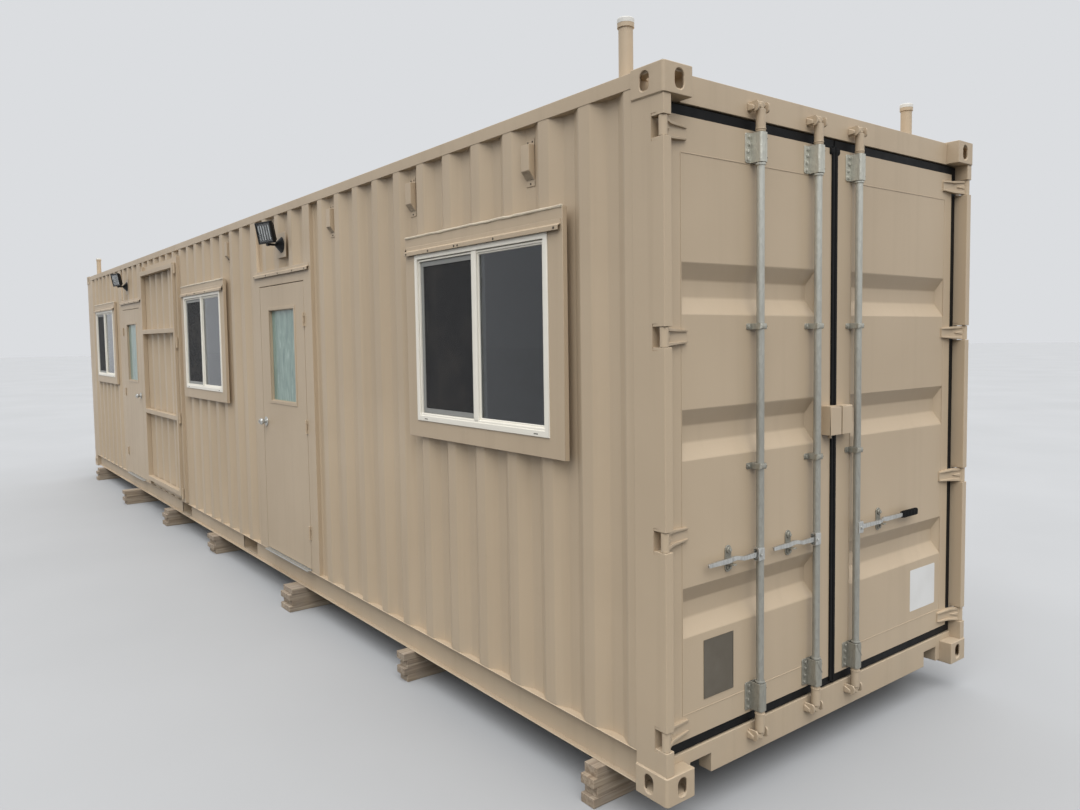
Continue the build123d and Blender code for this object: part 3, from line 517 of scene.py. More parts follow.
    def done(self, coat: "Coat", *replaces: str, body: Body = Body.CABIN) -> None:
        """Gives the piece its material and its body, shades it, and hides the frame nodes that it stands for.

        Args:
            coat: Its finish.
            *replaces: The frame nodes that it stands for.
            body: The body it moves with.
        """
        self.thing.data.materials.clear()
        self.thing.data.materials.append(coat.material)
        self.shade()
        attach(self.thing, body.value)
        if replaces:
            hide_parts(*replaces)
        log.info("%s: %d faces", self.thing.name, len(self.thing.data.polygons))


def joined(name: str, pieces: Sequence[Workpiece]) -> Workpiece:
    """Makes one workpiece of several and names it.

    Args:
        name: The name of the whole.
        pieces: The workpieces.

    Returns:
        The first of them, with the others in it.
    """
    whole = pieces[0].join(pieces[1:])
    whole.thing.name = name
    return whole


class Wiring:
    """Adds and links the nodes of one material or node group."""

    def __init__(self, tree: Tree) -> None:
        """Starts on an empty tree."""
        self.tree = tree
        tree.nodes.clear()

    def node(self, kind: str, **settings: object) -> Node:
        """Adds one node and sets its options.

        Args:
            kind: The kind of node.
            **settings: Its options.

        Returns:
            The node.
        """
        made = self.tree.nodes.new(kind)
        for key, value in settings.items():
            setattr(made, key, value)
        return made

    def feed(self, socket: Socket, value: object) -> None:
        """Links a socket to another, or writes a plain value on it.

        Args:
            socket: The socket to feed.
            value: Another socket or a plain value.
        """
        if isinstance(value, bpy.types.NodeSocket):
            self.tree.links.new(value, socket)
        elif value is not None:
            socket.default_value = value

    def fed(self, kind: str, values: dict[str | int, object], **settings: object) -> Node:
        """Adds one node with its inputs fed.

        Args:
            kind: The kind of node.
            values: What feeds each input, by its name or number.
            **settings: The node's options.

        Returns:
            The node.
        """
        made = self.node(kind, **settings)
        for key, value in values.items():
            self.feed(made.inputs[key], value)
        return made

    def place(self, stretch: Numbers = (1.0, 1.0, 1.0)) -> Socket:
        """Object coordinates, stretched."""
        source = self.node("ShaderNodeTexCoord").outputs["Object"]
        return self.fed("ShaderNodeMapping", {"Vector": source, "Scale": stretch}).outputs["Vector"]

    def noise(self, scale: float, detail: float, warp: float = 0.0, stretch: Numbers = (1.0, 1.0, 1.0)) -> Socket:
        """A cloudy value from 0 to 1."""
        values = {"Vector": self.place(stretch), "Scale": scale, "Detail": detail, "Distortion": warp}
        return self.fed("ShaderNodeTexNoise", values).outputs["Fac"]

    def range(self, value: Socket, low: float, high: float, to_low: float = 0.0, to_high: float = 1.0) -> Socket:
        """Spreads a span of values over another span, clamped."""
        values = {"Value": value, "From Min": low, "From Max": high, "To Min": to_low, "To Max": to_high}
        return self.fed("ShaderNodeMapRange", values).outputs["Result"]

    def maths(self, operation: str, first: object, second: object) -> Socket:
        """One sum of two values."""
        return self.fed("ShaderNodeMath", {0: first, 1: second}, operation=operation).outputs["Value"]

    def times(self, first: object, second: object) -> Socket:
        """The product of two values."""
        return self.maths("MULTIPLY", first, second)

    def plus(self, first: object, second: object) -> Socket:
        """The sum of two values."""
        return self.maths("ADD", first, second)

    def mix(self, share: object, first: object, second: object, blend: str = "MIX") -> Socket:
        """A mix of two colours."""
        values = {0: share, 6: first, 7: second}
        return self.fed("ShaderNodeMix", values, data_type="RGBA", blend_type=blend).outputs[2]

    def tint(self, colour: object, factors: Colour) -> Socket:
        """A colour multiplied by another."""
        return self.mix(1.0, colour, factors, "MULTIPLY")

    def height(self) -> Socket:
        """The height above the ground."""
        source = self.node("ShaderNodeTexCoord").outputs["Object"]
        return self.fed("ShaderNodeSeparateXYZ", {0: source}).outputs["Z"]

    def seen(self) -> Socket:
        """1 for the rays that show something, 0 for those that light it.

        Returns:
            The share.
        """
        rays = self.node("ShaderNodeLightPath")
        share = self.maths("MAXIMUM", rays.outputs["Is Camera Ray"], rays.outputs["Is Glossy Ray"])
        return self.maths("MAXIMUM", share, rays.outputs["Is Transmission Ray"])

    def give(self, colour: Socket, roughness: Socket, height: Socket) -> Tree:
        """Feeds the outputs of a surface group and returns its tree."""
        self.fed("NodeGroupOutput", {"Colour": colour, "Roughness": roughness, "Height": height})
        return self.tree


def srgb(red: int, green: int, blue: int) -> Colour:
    """A linear colour from the usual 0 to 255 values.

    Args:
        red: The red value.
        green: The green value.
        blue: The blue value.

    Returns:
        The colour.
    """

    def linear(value: int) -> float:
        """The linear share of one value."""
        share = value / 255
        return share / 12.92 if share <= 0.04045 else ((share + 0.055) / 1.055) ** 2.4

    return (linear(red), linear(green), linear(blue), 1.0)


def surface_group(name: str, inputs: dict[str, float | Colour]) -> tuple[Wiring, list[Socket]]:
    """Starts a node group that gives a colour, a roughness and a height.

    Args:
        name: The group's name.
        inputs: Its inputs with their defaults.

    Returns:
        Its wiring and the sockets of its inputs.
    """
    tree = bpy.data.node_groups.new(name, "ShaderNodeTree")
    colour, value = "NodeSocketColor", "NodeSocketFloat"
    for label, default in inputs.items():
        kind = value if isinstance(default, float) else colour
        tree.interface.new_socket(label, in_out="INPUT", socket_type=kind).default_value = default
    for label, kind in (("Colour", colour), ("Roughness", value), ("Height", value)):
        tree.interface.new_socket(label, in_out="OUTPUT", socket_type=kind)
    wires = Wiring(tree)
    return wires, wires.node("NodeGroupInput").outputs[:len(inputs)]


@cache
def weathering_group() -> Tree:
    """Soft patches, rain streaks, dust near the ground and the fine texture of a sprayed coat.

    Returns:
        The group.
    """
    defaults = {
        "Paint": (0.5, 0.5, 0.5, 1.0),
        "Dust": (0.5, 0.45, 0.4, 1.0),
        "Patches": 0.06,
        "Streaks": 0.05,
        "Dust share": 0.35,
        "Gloss": 0.45,
    }
    wires, (paint, dust, patch_share, streak_share, dust_share, gloss) = surface_group("weathered_coat", defaults)
    dark = wires.tint(paint, (0.72, 0.70, 0.68, 1.0))
    patches = wires.noise(0.9, 5.0, 0.4)
    colour = wires.mix(wires.times(wires.range(patches, 0.35, 0.7), patch_share), paint, dark)
    streaks = wires.noise(1.0, 4.0, stretch=(14.0, 14.0, 0.5))
    colour = wires.mix(wires.times(wires.range(streaks, 0.52, 0.74), streak_share), colour, dark)
    colour = wires.mix(wires.range(wires.noise(38.0, 2.0), 0.55, 0.8, 0.0, 0.06), colour, dust)
    splashed = wires.range(wires.noise(1.0, 6.0, stretch=(3.0, 3.0, 6.0)), 0.35, 0.7)
    dusty = wires.times(wires.range(wires.height(), 0.17, 0.75, 1.0, 0.0), splashed)
    colour = wires.mix(wires.times(dusty, dust_share), colour, dust)
    gloss = wires.plus(gloss, wires.range(patches, 0.3, 0.8, -0.06, 0.06))
    relief = wires.plus(wires.times(wires.noise(260.0, 1.0), 0.35), wires.noise(16.0, 2.0))
    return wires.give(colour, wires.plus(gloss, wires.times(dusty, 0.2)), relief)


@cache
def zinc_group() -> Tree:
    """The mottled bloom of hot-dip zinc, with darker runs down it and a painted lighter tone higher up that stands for
    the sky reflected in it.

    Returns:
        The group.
    """
    defaults = {"Zinc": (0.5, 0.5, 0.5, 1.0), "Stain": (0.3, 0.29, 0.27, 1.0), "Runs": 0.3}
    wires, (zinc, stain, run_share) = surface_group("zinc_bloom", defaults)
    cells = wires.fed("ShaderNodeTexVoronoi", {"Vector": wires.place((1.0, 1.0, 0.35)), "Scale": 120.0})
    mottled = wires.range(cells.outputs["Color"], 0.2, 0.8, 0.0, 0.55)
    colour = wires.mix(mottled, zinc, wires.tint(zinc, (1.25, 1.25, 1.25, 1.0)))
    runs = wires.noise(1.0, 5.0, stretch=(90.0, 90.0, 4.0))
    colour = wires.mix(wires.times(wires.range(runs, 0.5, 0.75), run_share), colour, stain)
    # painted reflection: the zinc turns lighter towards the top, standing for the bright sky mirrored in it
    painted_sky_reflection = wires.tint(colour, (1.7, 1.73, 1.76, 1.0))
    colour = wires.mix(wires.range(wires.height(), 1.6, 2.8, 0.0, 0.95), colour, painted_sky_reflection)
    relief = wires.plus(wires.noise(140.0, 2.0), cells.outputs["Distance"])
    return wires.give(colour, wires.range(runs, 0.3, 0.8, 0.34, 0.55), relief)


@cache
def wood_group() -> Tree:
    """Sawn timber with its grain along Y, weathered in patches.

    Returns:
        The group.
    """
    defaults = {"Pale": (0.4, 0.3, 0.2, 1.0), "Dark": (0.15, 0.1, 0.06, 1.0), "Grey": 0.4}
    wires, (pale, dark, grey) = surface_group("sawn_grain", defaults)
    grain = wires.noise(1.0, 6.0, 0.8, (55.0, 2.2, 55.0))
    rings = wires.noise(1.0, 3.0, 0.3, (160.0, 5.0, 160.0))
    colour = wires.mix(wires.range(grain, 0.35, 0.68), pale, dark)
    island = wires.node("ShaderNodeNewGeometry").outputs["Random Per Island"]
    colour = wires.mix(wires.range(island, 0.0, 1.0, 0.0, 0.45), colour, dark)
    patch = wires.range(wires.noise(9.0, 5.0), 0.35, 0.7)
    colour = wires.mix(wires.times(patch, grey), colour, (0.27, 0.25, 0.23, 1.0))
    return wires.give(colour, wires.range(grain, 0.3, 0.7, 0.75, 0.92), wires.plus(grain, rings))


@dataclass(frozen=True)
class Finish:
    """A plain finish: a colour, its roughness, how metallic it is and the height of its relief."""

    name: str
    colour: Colour
    roughness: float = 0.5
    metallic: float = 0.0
    relief: float = 0.0

    def start(self) -> tuple[Material, Wiring, Node]:
        """Makes the material with its shader and output.

        Returns:
            The material, its wiring and its Principled shader.
        """
        material = bpy.data.materials.new(self.name)
        material.use_nodes = True
        wires = Wiring(material.node_tree)
        values = {"Base Color": self.colour, "Roughness": self.roughness, "Metallic": self.metallic}
        shader = wires.fed("ShaderNodeBsdfPrincipled", values)
        wires.fed("ShaderNodeOutputMaterial", {"Surface": shader.outputs["BSDF"]})
        return material, wires, shader

    def emboss(self, wires: Wiring, shader: Node, height: Socket) -> None:
        """Lets a height bump the surface by the finish's relief.

        Args:
            wires: The material's wiring.
            shader: Its Principled shader.
            height: The height.
        """
        bump = wires.fed("ShaderNodeBump", {"Strength": 1.0, "Distance": self.relief, "Height": height})
        wires.feed(shader.inputs["Normal"], bump.outputs["Normal"])

    def grouped(self, group: Tree, values: dict[str, float | Colour]) -> Material:
        """The material with its surface from a group.

        Args:
            group: The surface group.
            values: The group's inputs by name.

        Returns:
            The material.
        """
        material, wires, shader = self.start()
        made = wires.fed("ShaderNodeGroup", {}, node_tree=group)
        for name, value in values.items():
            wires.feed(made.inputs[name], value)
        wires.feed(shader.inputs["Base Color"], made.outputs["Colour"])
        wires.feed(shader.inputs["Roughness"], made.outputs["Roughness"])
        self.emboss(wires, shader, made.outputs["Height"])
        return material


@dataclass(frozen=True)
class PaintFinish(Finish):
    """Sprayed paint on steel, a little dusty and streaked."""

    dust: Colour = srgb(176, 166, 150)
    patches: float = 0.35
    streaks: float = 0.25
    dust_share: float = 0.3

    def made(self) -> Material:
        """Builds the material around the weathering group.

        Returns:
            The material.
        """
        values = {"Paint": self.colour, "Dust": self.dust, "Patches": self.patches}
        values |= {"Streaks": self.streaks, "Dust share": self.dust_share, "Gloss": self.roughness}
        return self.grouped(weathering_group(), values)


@dataclass(frozen=True)
class ZincFinish(Finish):
    """Hot-dip zinc."""

    stain: Colour = srgb(120, 112, 100)
    runs: float = 0.3

    def made(self) -> Material:
        """Builds the material around the zinc group."""
        return self.grouped(zinc_group(), {"Zinc": self.colour, "Stain": self.stain, "Runs": self.runs})


@dataclass(frozen=True)
class WoodFinish(Finish):
    """Sawn or sanded timber."""

    dark: Colour = srgb(92, 72, 54)
    grey: float = 0.5

    def made(self) -> Material:
        """Builds the material around the grain group."""
        return self.grouped(wood_group(), {"Pale": self.colour, "Dark": self.dark, "Grey": self.grey})


@dataclass(frozen=True)
class GlassFinish(Finish):
    """Clear glass, a little smeared."""

    ior: float = 1.5
    smear: float = 0.03

    def made(self) -> Material:
        """Builds the material.

        Returns:
            The material.
        """
        material, wires, shader = self.start()
        smears = wires.range(wires.noise(3.0, 5.0, stretch=(2.0, 2.0, 0.7)), 0.4, 0.75)
        shader.inputs["Transmission Weight"].default_value = 1.0
        shader.inputs["IOR"].default_value = self.ior
        wires.feed(shader.inputs["Roughness"], wires.plus(self.roughness, wires.times(smears, self.smear)))
        return material


@dataclass(frozen=True)
class FrostedFinish(Finish):
    """Glass behind a pale film with streaks down it."""

    streak: Colour = srgb(176, 196, 186)
    deep: Colour = srgb(104, 132, 124)

    def made(self) -> Material:
        """Builds the material.

        Returns:
            The material.
        """
        material, wires, shader = self.start()
        shader.inputs["Transmission Weight"].default_value = 0.25
        shader.inputs["Coat Weight"].default_value = 0.5
        runs = wires.noise(1.0, 6.0, 1.8, (17.0, 17.0, 3.4))
        fine = wires.noise(1.0, 4.0, 1.4, (70.0, 70.0, 16.0))
        colour = wires.mix(wires.range(runs, 0.32, 0.5, 1.0, 0.0), self.colour, self.deep)
        colour = wires.mix(wires.range(runs, 0.52, 0.72), colour, self.streak)
        colour = wires.mix(wires.range(fine, 0.5, 0.8, 0.0, 0.35), colour, self.streak)
        wires.feed(shader.inputs["Base Color"], colour)
        wires.feed(shader.inputs["Roughness"], wires.range(runs, 0.3, 0.7, self.roughness, self.roughness + 0.2))
        return material


@dataclass(frozen=True)
class MouldedFinish(Finish):
    """Rubber, vinyl, board or a lamp's housing with a fine grain and light soiling."""

    soil: Colour = srgb(120, 112, 102)
    soil_share: float = 0.1
    grain: float = 300.0
    alpha: float = 1.0
    gloss: float = 0.5

    def made(self) -> Material:
        """Builds the material.

        Returns:
            The material.
        """
        material, wires, shader = self.start()
        shader.inputs["Alpha"].default_value = self.alpha
        shader.inputs["Specular IOR Level"].default_value = self.gloss
        patches = wires.range(wires.noise(7.0, 5.0), 0.45, 0.75, 0.0, self.soil_share)
        wires.feed(shader.inputs["Base Color"], wires.mix(patches, self.colour, self.soil))
        sheen = wires.range(wires.noise(22.0, 3.0), 0.3, 0.8, self.roughness - 0.06, self.roughness + 0.08)
        wires.feed(shader.inputs["Roughness"], sheen)
        self.emboss(wires, shader, wires.noise(self.grain, 2.0))
        return material


@cache
def material_of(finish: Finish) -> Material:
    """The material of a finish, made once."""
    return finish.made()


BEIGE = srgb(188, 169, 143)


class Coat(Enum):
    """The finishes in use, each with its slot of the record."""

    PAINT = (Slot.PAINT, PaintFinish("beige_coat", BEIGE, 0.48, relief=0.0006))
    CAST = (Slot.PAINT, PaintFinish("beige_coat_on_castings", BEIGE, 0.52, relief=0.0016, patches=0.5))
    DOOR = (Slot.PAINT, PaintFinish("beige_coat_on_doors", BEIGE, 0.45, relief=0.0005, streaks=0.15))
    # painted highlight: the surround beads get a lighter beige than the paint, standing for the light they catch
    BEAD_HIGHLIGHT = (Slot.PAINT, PaintFinish("bead_coat_painted_highlight", srgb(206, 194, 172), 0.5, relief=0.001))
    SCREW = (Slot.PAINT, MouldedFinish("screw_head", srgb(84, 74, 62), 0.5, relief=0.0002))
    ZINC = (Slot.ZINC, ZincFinish("zinc", srgb(151, 150, 142), 0.42, 0.4, relief=0.0006))
    BRACKET = (Slot.ZINC, ZincFinish("bracket_zinc", srgb(152, 150, 140), 0.4, 0.55, relief=0.0012))
    BRIGHT = (Slot.BRIGHT, ZincFinish("bright_zinc", srgb(190, 190, 186), 0.26, 0.95, relief=0.0016, runs=0.4))
    HANDLE = (Slot.ZINC, BRIGHT[1])
    TIMBER = (
        Slot.TIMBER,
        WoodFinish("sawn_timber", srgb(184, 168, 146), relief=0.0014, dark=srgb(128, 110, 90), grey=0.35),
    )
    PLYWOOD = (Slot.PLYWOOD, WoodFinish("deck_plywood", srgb(168, 138, 100), relief=0.0003, grey=0.15))
    BOARD = (Slot.BOARD, MouldedFinish("lining_board_white", srgb(206, 202, 192), 0.65, relief=0.0003))
    RUBBER = (
        Slot.RUBBER,
        MouldedFinish(
            "door_seal", srgb(13, 13, 14), 0.55, relief=0.0004, soil=srgb(56, 53, 48), soil_share=0.08, gloss=0.15
        ),
    )
    SCREEN_MESH = (Slot.RUBBER, MouldedFinish("screen_mesh", srgb(24, 24, 25), 0.8, relief=0.0002, alpha=0.82))
    SCREEN_FRAME = (Slot.BRIGHT, MouldedFinish("screen_frame_grey", srgb(134, 134, 130), 0.42, relief=0.0002))
    PLATE = (
        Slot.BRIGHT,
        MouldedFinish(
            "bare_plate", srgb(96, 89, 77), 0.48, 0.15, relief=0.0002, soil=srgb(120, 114, 104), soil_share=0.35
        ),
    )
    VINYL = (
        Slot.VINYL,
        MouldedFinish("white_vinyl_frame", srgb(236, 231, 218), 0.35, relief=0.0001, soil_share=0.05),
    )
    STICKER = (
        Slot.VINYL,
        MouldedFinish(
            "bare_sticker", srgb(222, 222, 220), 0.35, relief=0.0001, soil=srgb(190, 186, 180), soil_share=0.2
        ),
    )
    CAP = (Slot.VINYL, MouldedFinish("cap_white", srgb(214, 212, 206), 0.45, relief=0.0002))
    CLEAR = (Slot.PANE, GlassFinish("window_glass_clear", srgb(170, 176, 182), 0.0))
    FROSTED = (Slot.PANE, FrostedFinish("door_glass_frosted", srgb(136, 163, 152), 0.3))
    LAMP = (Slot.LAMP, MouldedFinish("lamp_housing", srgb(15, 15, 16), 0.45, relief=0.0003, gloss=0.25))
    LAMP_GLASS = (Slot.LAMP, GlassFinish("lamp_glass", srgb(250, 252, 252), 0.0))
    REFLECTOR = (Slot.LAMP, MouldedFinish("lamp_reflector", srgb(226, 228, 226), 0.3, 0.15, relief=0.0002))

    @property
    def slot(self) -> Slot:
        """The record's material slot."""
        return self.value[0]

    @property
    def material(self) -> Material:
        """The material."""
        return material_of(self.value[1])


@dataclass(frozen=True)
class Places:
    """The main surfaces of the container, in metres, and the ways its distances are counted."""

    lift: float = 0.1595
    half_length: float = 6.096
    half_width: float = 1.219
    height: float = 2.896
    wall: float = 1.211
    leaf: float = 6.024
    rod_x: float = 6.063

    def along(self, distance: float) -> float:
        """X of a place that is so far from the cargo end."""
        return self.half_length - distance

    def across(self, distance: float) -> float:
        """Y of a place that is so far from the front side."""
        return distance - self.half_width

    def level(self, height: float) -> float:
        """Z of a place that is so far above the feet of the castings."""
        return self.lift + height


AT = Places()


class Fastener:
    """A hexagon bolt head on its washer, modelled once and set wherever one is needed."""

    def __init__(self, radius: float, height: float, washer: float) -> None:
        """Models the head, pointing along -Y with its seat at the origin.

        Args:
            radius: The head's radius.
            height: The head's height.
            washer: The washer's thickness.
        """
        disc = Workpiece.drum("washer", (0, -washer / 2, 0), radius * 1.45, washer, Axis.Y, 16)
        head = Workpiece.drum("head", (0, -washer - height / 2, 0), radius, height, Axis.Y, 6)
        head.round_edges(height * 0.25, 1, crisp(30.0, radius * 0.9))
        self.piece = disc.join([head])
        self.count = 0

    def at(self, place: Numbers, turn: float = 0.0) -> Workpiece:
        """A copy at a place.

        Args:
            place: The point that its seat touches.
            turn: The angle about Z from facing -Y, in degrees.

        Returns:
            The copy.
        """
        self.count += 1
        matrix = Matrix.Translation(place) @ Matrix.Rotation(math.radians(turn), 4, "Z")
        return self.piece.placed(f"{self.piece.thing.name}_{self.count}", matrix)

    def on_leaf(self, height: float, y: float, z: float) -> Workpiece:
        """A copy that stands so high over a cargo door's face."""
        return self.at((AT.leaf + height, y, z), 90.0)

    def put_away(self) -> None:
        """Removes the pattern piece once its copies are made."""
        bpy.data.objects.remove(self.piece.thing)


def screws(name: str, size: tuple[float, float, float], places: Sequence[Numbers]) -> None:
    """Sets screws on the front side and finishes them as one piece.

    Args:
        name: The piece's name.
        size: The radius, the height and the washer of a screw.
        places: The points that their seats touch.
    """
    pattern = Fastener(*size)
    heads = [pattern.at(place) for place in places]
    pattern.put_away()
    joined(name, heads).done(Coat.SCREW)


def weld_bead(name: str, start: Numbers, end: Numbers, radius: float, seed: int) -> Workpiece:
    """A slightly uneven bead along a straight joint.

    Args:
        name: The piece's name.
        start: The low end of its line.
        end: The high end, along one of the axes.
        radius: Its radius.
        seed: The seed of its unevenness.

    Returns:
        The workpiece.
    """
    low, high = Vector(start), Vector(end)
    run = high - low
    axis = max(range(3), key=lambda index: abs(run[index]))
    reach = Vector((radius, radius, radius))
    reach[axis] = 0.0
    line = run.normalized()
    piece = Workpiece.block(name, *zip(low - reach, high + reach))
    with piece.edit():
        piece.edges(lambda edge: abs((edge.verts[1].co - edge.verts[0].co).normalized().dot(line)) > PARALLEL)
        bpy.ops.mesh.subdivide(number_cuts=max(4, int(run.length / (radius * 7))))
        bpy.ops.mesh.select_all(action="SELECT")
        bpy.ops.transform.vertex_random(offset=radius * 0.45, seed=seed)
    return piece.softened(radius * 0.55, 50.0)


@dataclass
class Skins:
    """The corrugated sheets, with the soft folds that a press leaves."""

    wall_fold: float = 0.007
    roof_fold: float = 0.004

    def build(self) -> None:
        """Builds the four sheets."""
        for node in ("front_wall_skin", "rear_wall_skin", "far_end_skin"):
            self.sheet(node, (0, 0, 1), self.wall_fold)
        self.sheet("roof_skin", (0, 1, 0), self.roof_fold)

    def sheet(self, node: str, direction: Numbers, fold: float) -> None:
        """Builds one sheet with its folds rounded."""
        piece = Workpiece.from_node(f"{node}_folded", node).round_edges(fold, 3, folds(direction))
        piece.done(Coat.PAINT, node)


@dataclass
class SteelFrame:
    """Castings, posts, rails and beams with rolled and ground edges, and the welds between them."""

    casting_round: float = 0.004
    steel_round: float = 0.0025
    casting_length: float = 0.178
    casting_width: float = 0.162
    casting_height: float = 0.118
    weld_inset: float = 0.0065
    weld_radius: float = 0.003
    weld_end: float = 0.012
    upright_weld: tuple[float, float] = (2.83, 2.888)
    hinge_levels: tuple[float, ...] = (0.258, 1.058, 1.858, 2.658)
    lug_faces: tuple[float, float] = (6.0245, 6.053)
    lug_reach: tuple[float, float] = (1.1712, 1.2118)
    lug_heights: tuple[float, float] = (0.0402, 0.0518)

    def build(self) -> None:
        """Builds every piece of the frame."""
        for node in ("corner_castings_bottom", "corner_castings_top"):
            piece = Workpiece.from_node(f"{node}_cast", node)
            piece.round_edges(self.casting_round, 3, self.on_outside).done(Coat.CAST, node)
        for node in ("cargo_end_posts", "far_end_frame", "bottom_side_rails", "top_side_rails", "door_beams"):
            piece = Workpiece.from_node(f"{node}_rolled", node)
            piece.round_edges(self.steel_round, 2, crisp(50.0, 0.03)).done(Coat.PAINT, node)
        self.lug_webs()
        self.welds()

    def lug_webs(self) -> None:
        """Builds the webs that carry each hinge lug back to the inner end of its notch."""
        webs = []
        for side in (-1, 1):
            for middle in self.hinge_levels:
                for way in (-1, 1):
                    y = [side * reach for reach in self.lug_reach]
                    z = [AT.level(middle + way * height) for height in self.lug_heights]
                    webs.append(Workpiece.block("web", self.lug_faces, y, z).round_edges(0.001, 1, crisp(60.0)))
        joined("hinge_lug_webs", webs).done(Coat.PAINT)

    def on_outside(self, edge: Edge) -> bool:
        """True for a sharp edge that lies in an outer face of a casting.

        Args:
            edge: The edge.

        Returns:
            Whether it does.
        """
        levels = (0.0, self.casting_height, AT.height - self.casting_height, AT.height)
        rims = (
            (Axis.X, (AT.half_length, AT.half_length - self.casting_length)),
            (Axis.Y, (AT.half_width, AT.half_width - self.casting_width)),
            (Axis.Z, tuple(AT.level(height) for height in levels)),
        )
        return sharp(edge, 50.0) and any(
            all(abs(abs(vert.co[axis]) - place) < 0.0004 for vert in edge.verts)
            for axis, places in rims
            for place in places
        )

    def welds(self) -> None:
        """Builds the beads where the posts and rails meet the castings."""
        beads = []
        for side in (-1, 1):
            y = side * (AT.half_width - self.weld_inset)
            for end in (-1, 1):
                near = end * (AT.half_length - self.casting_length)
                low, high = sorted((near, end * (AT.half_length - self.weld_end)))
                levels = [AT.level(height) for height in (self.casting_height, AT.height - self.casting_height)]
                lines = [((low, y, z), (high, y, z)) for z in levels]
                lines.append(tuple((near, y, AT.level(height)) for height in self.upright_weld))
                beads += [
                    weld_bead("bead", *line, self.weld_radius, seed) for seed, line in enumerate(lines, len(beads))
                ]
        joined("casting_welds", beads).done(Coat.PAINT)


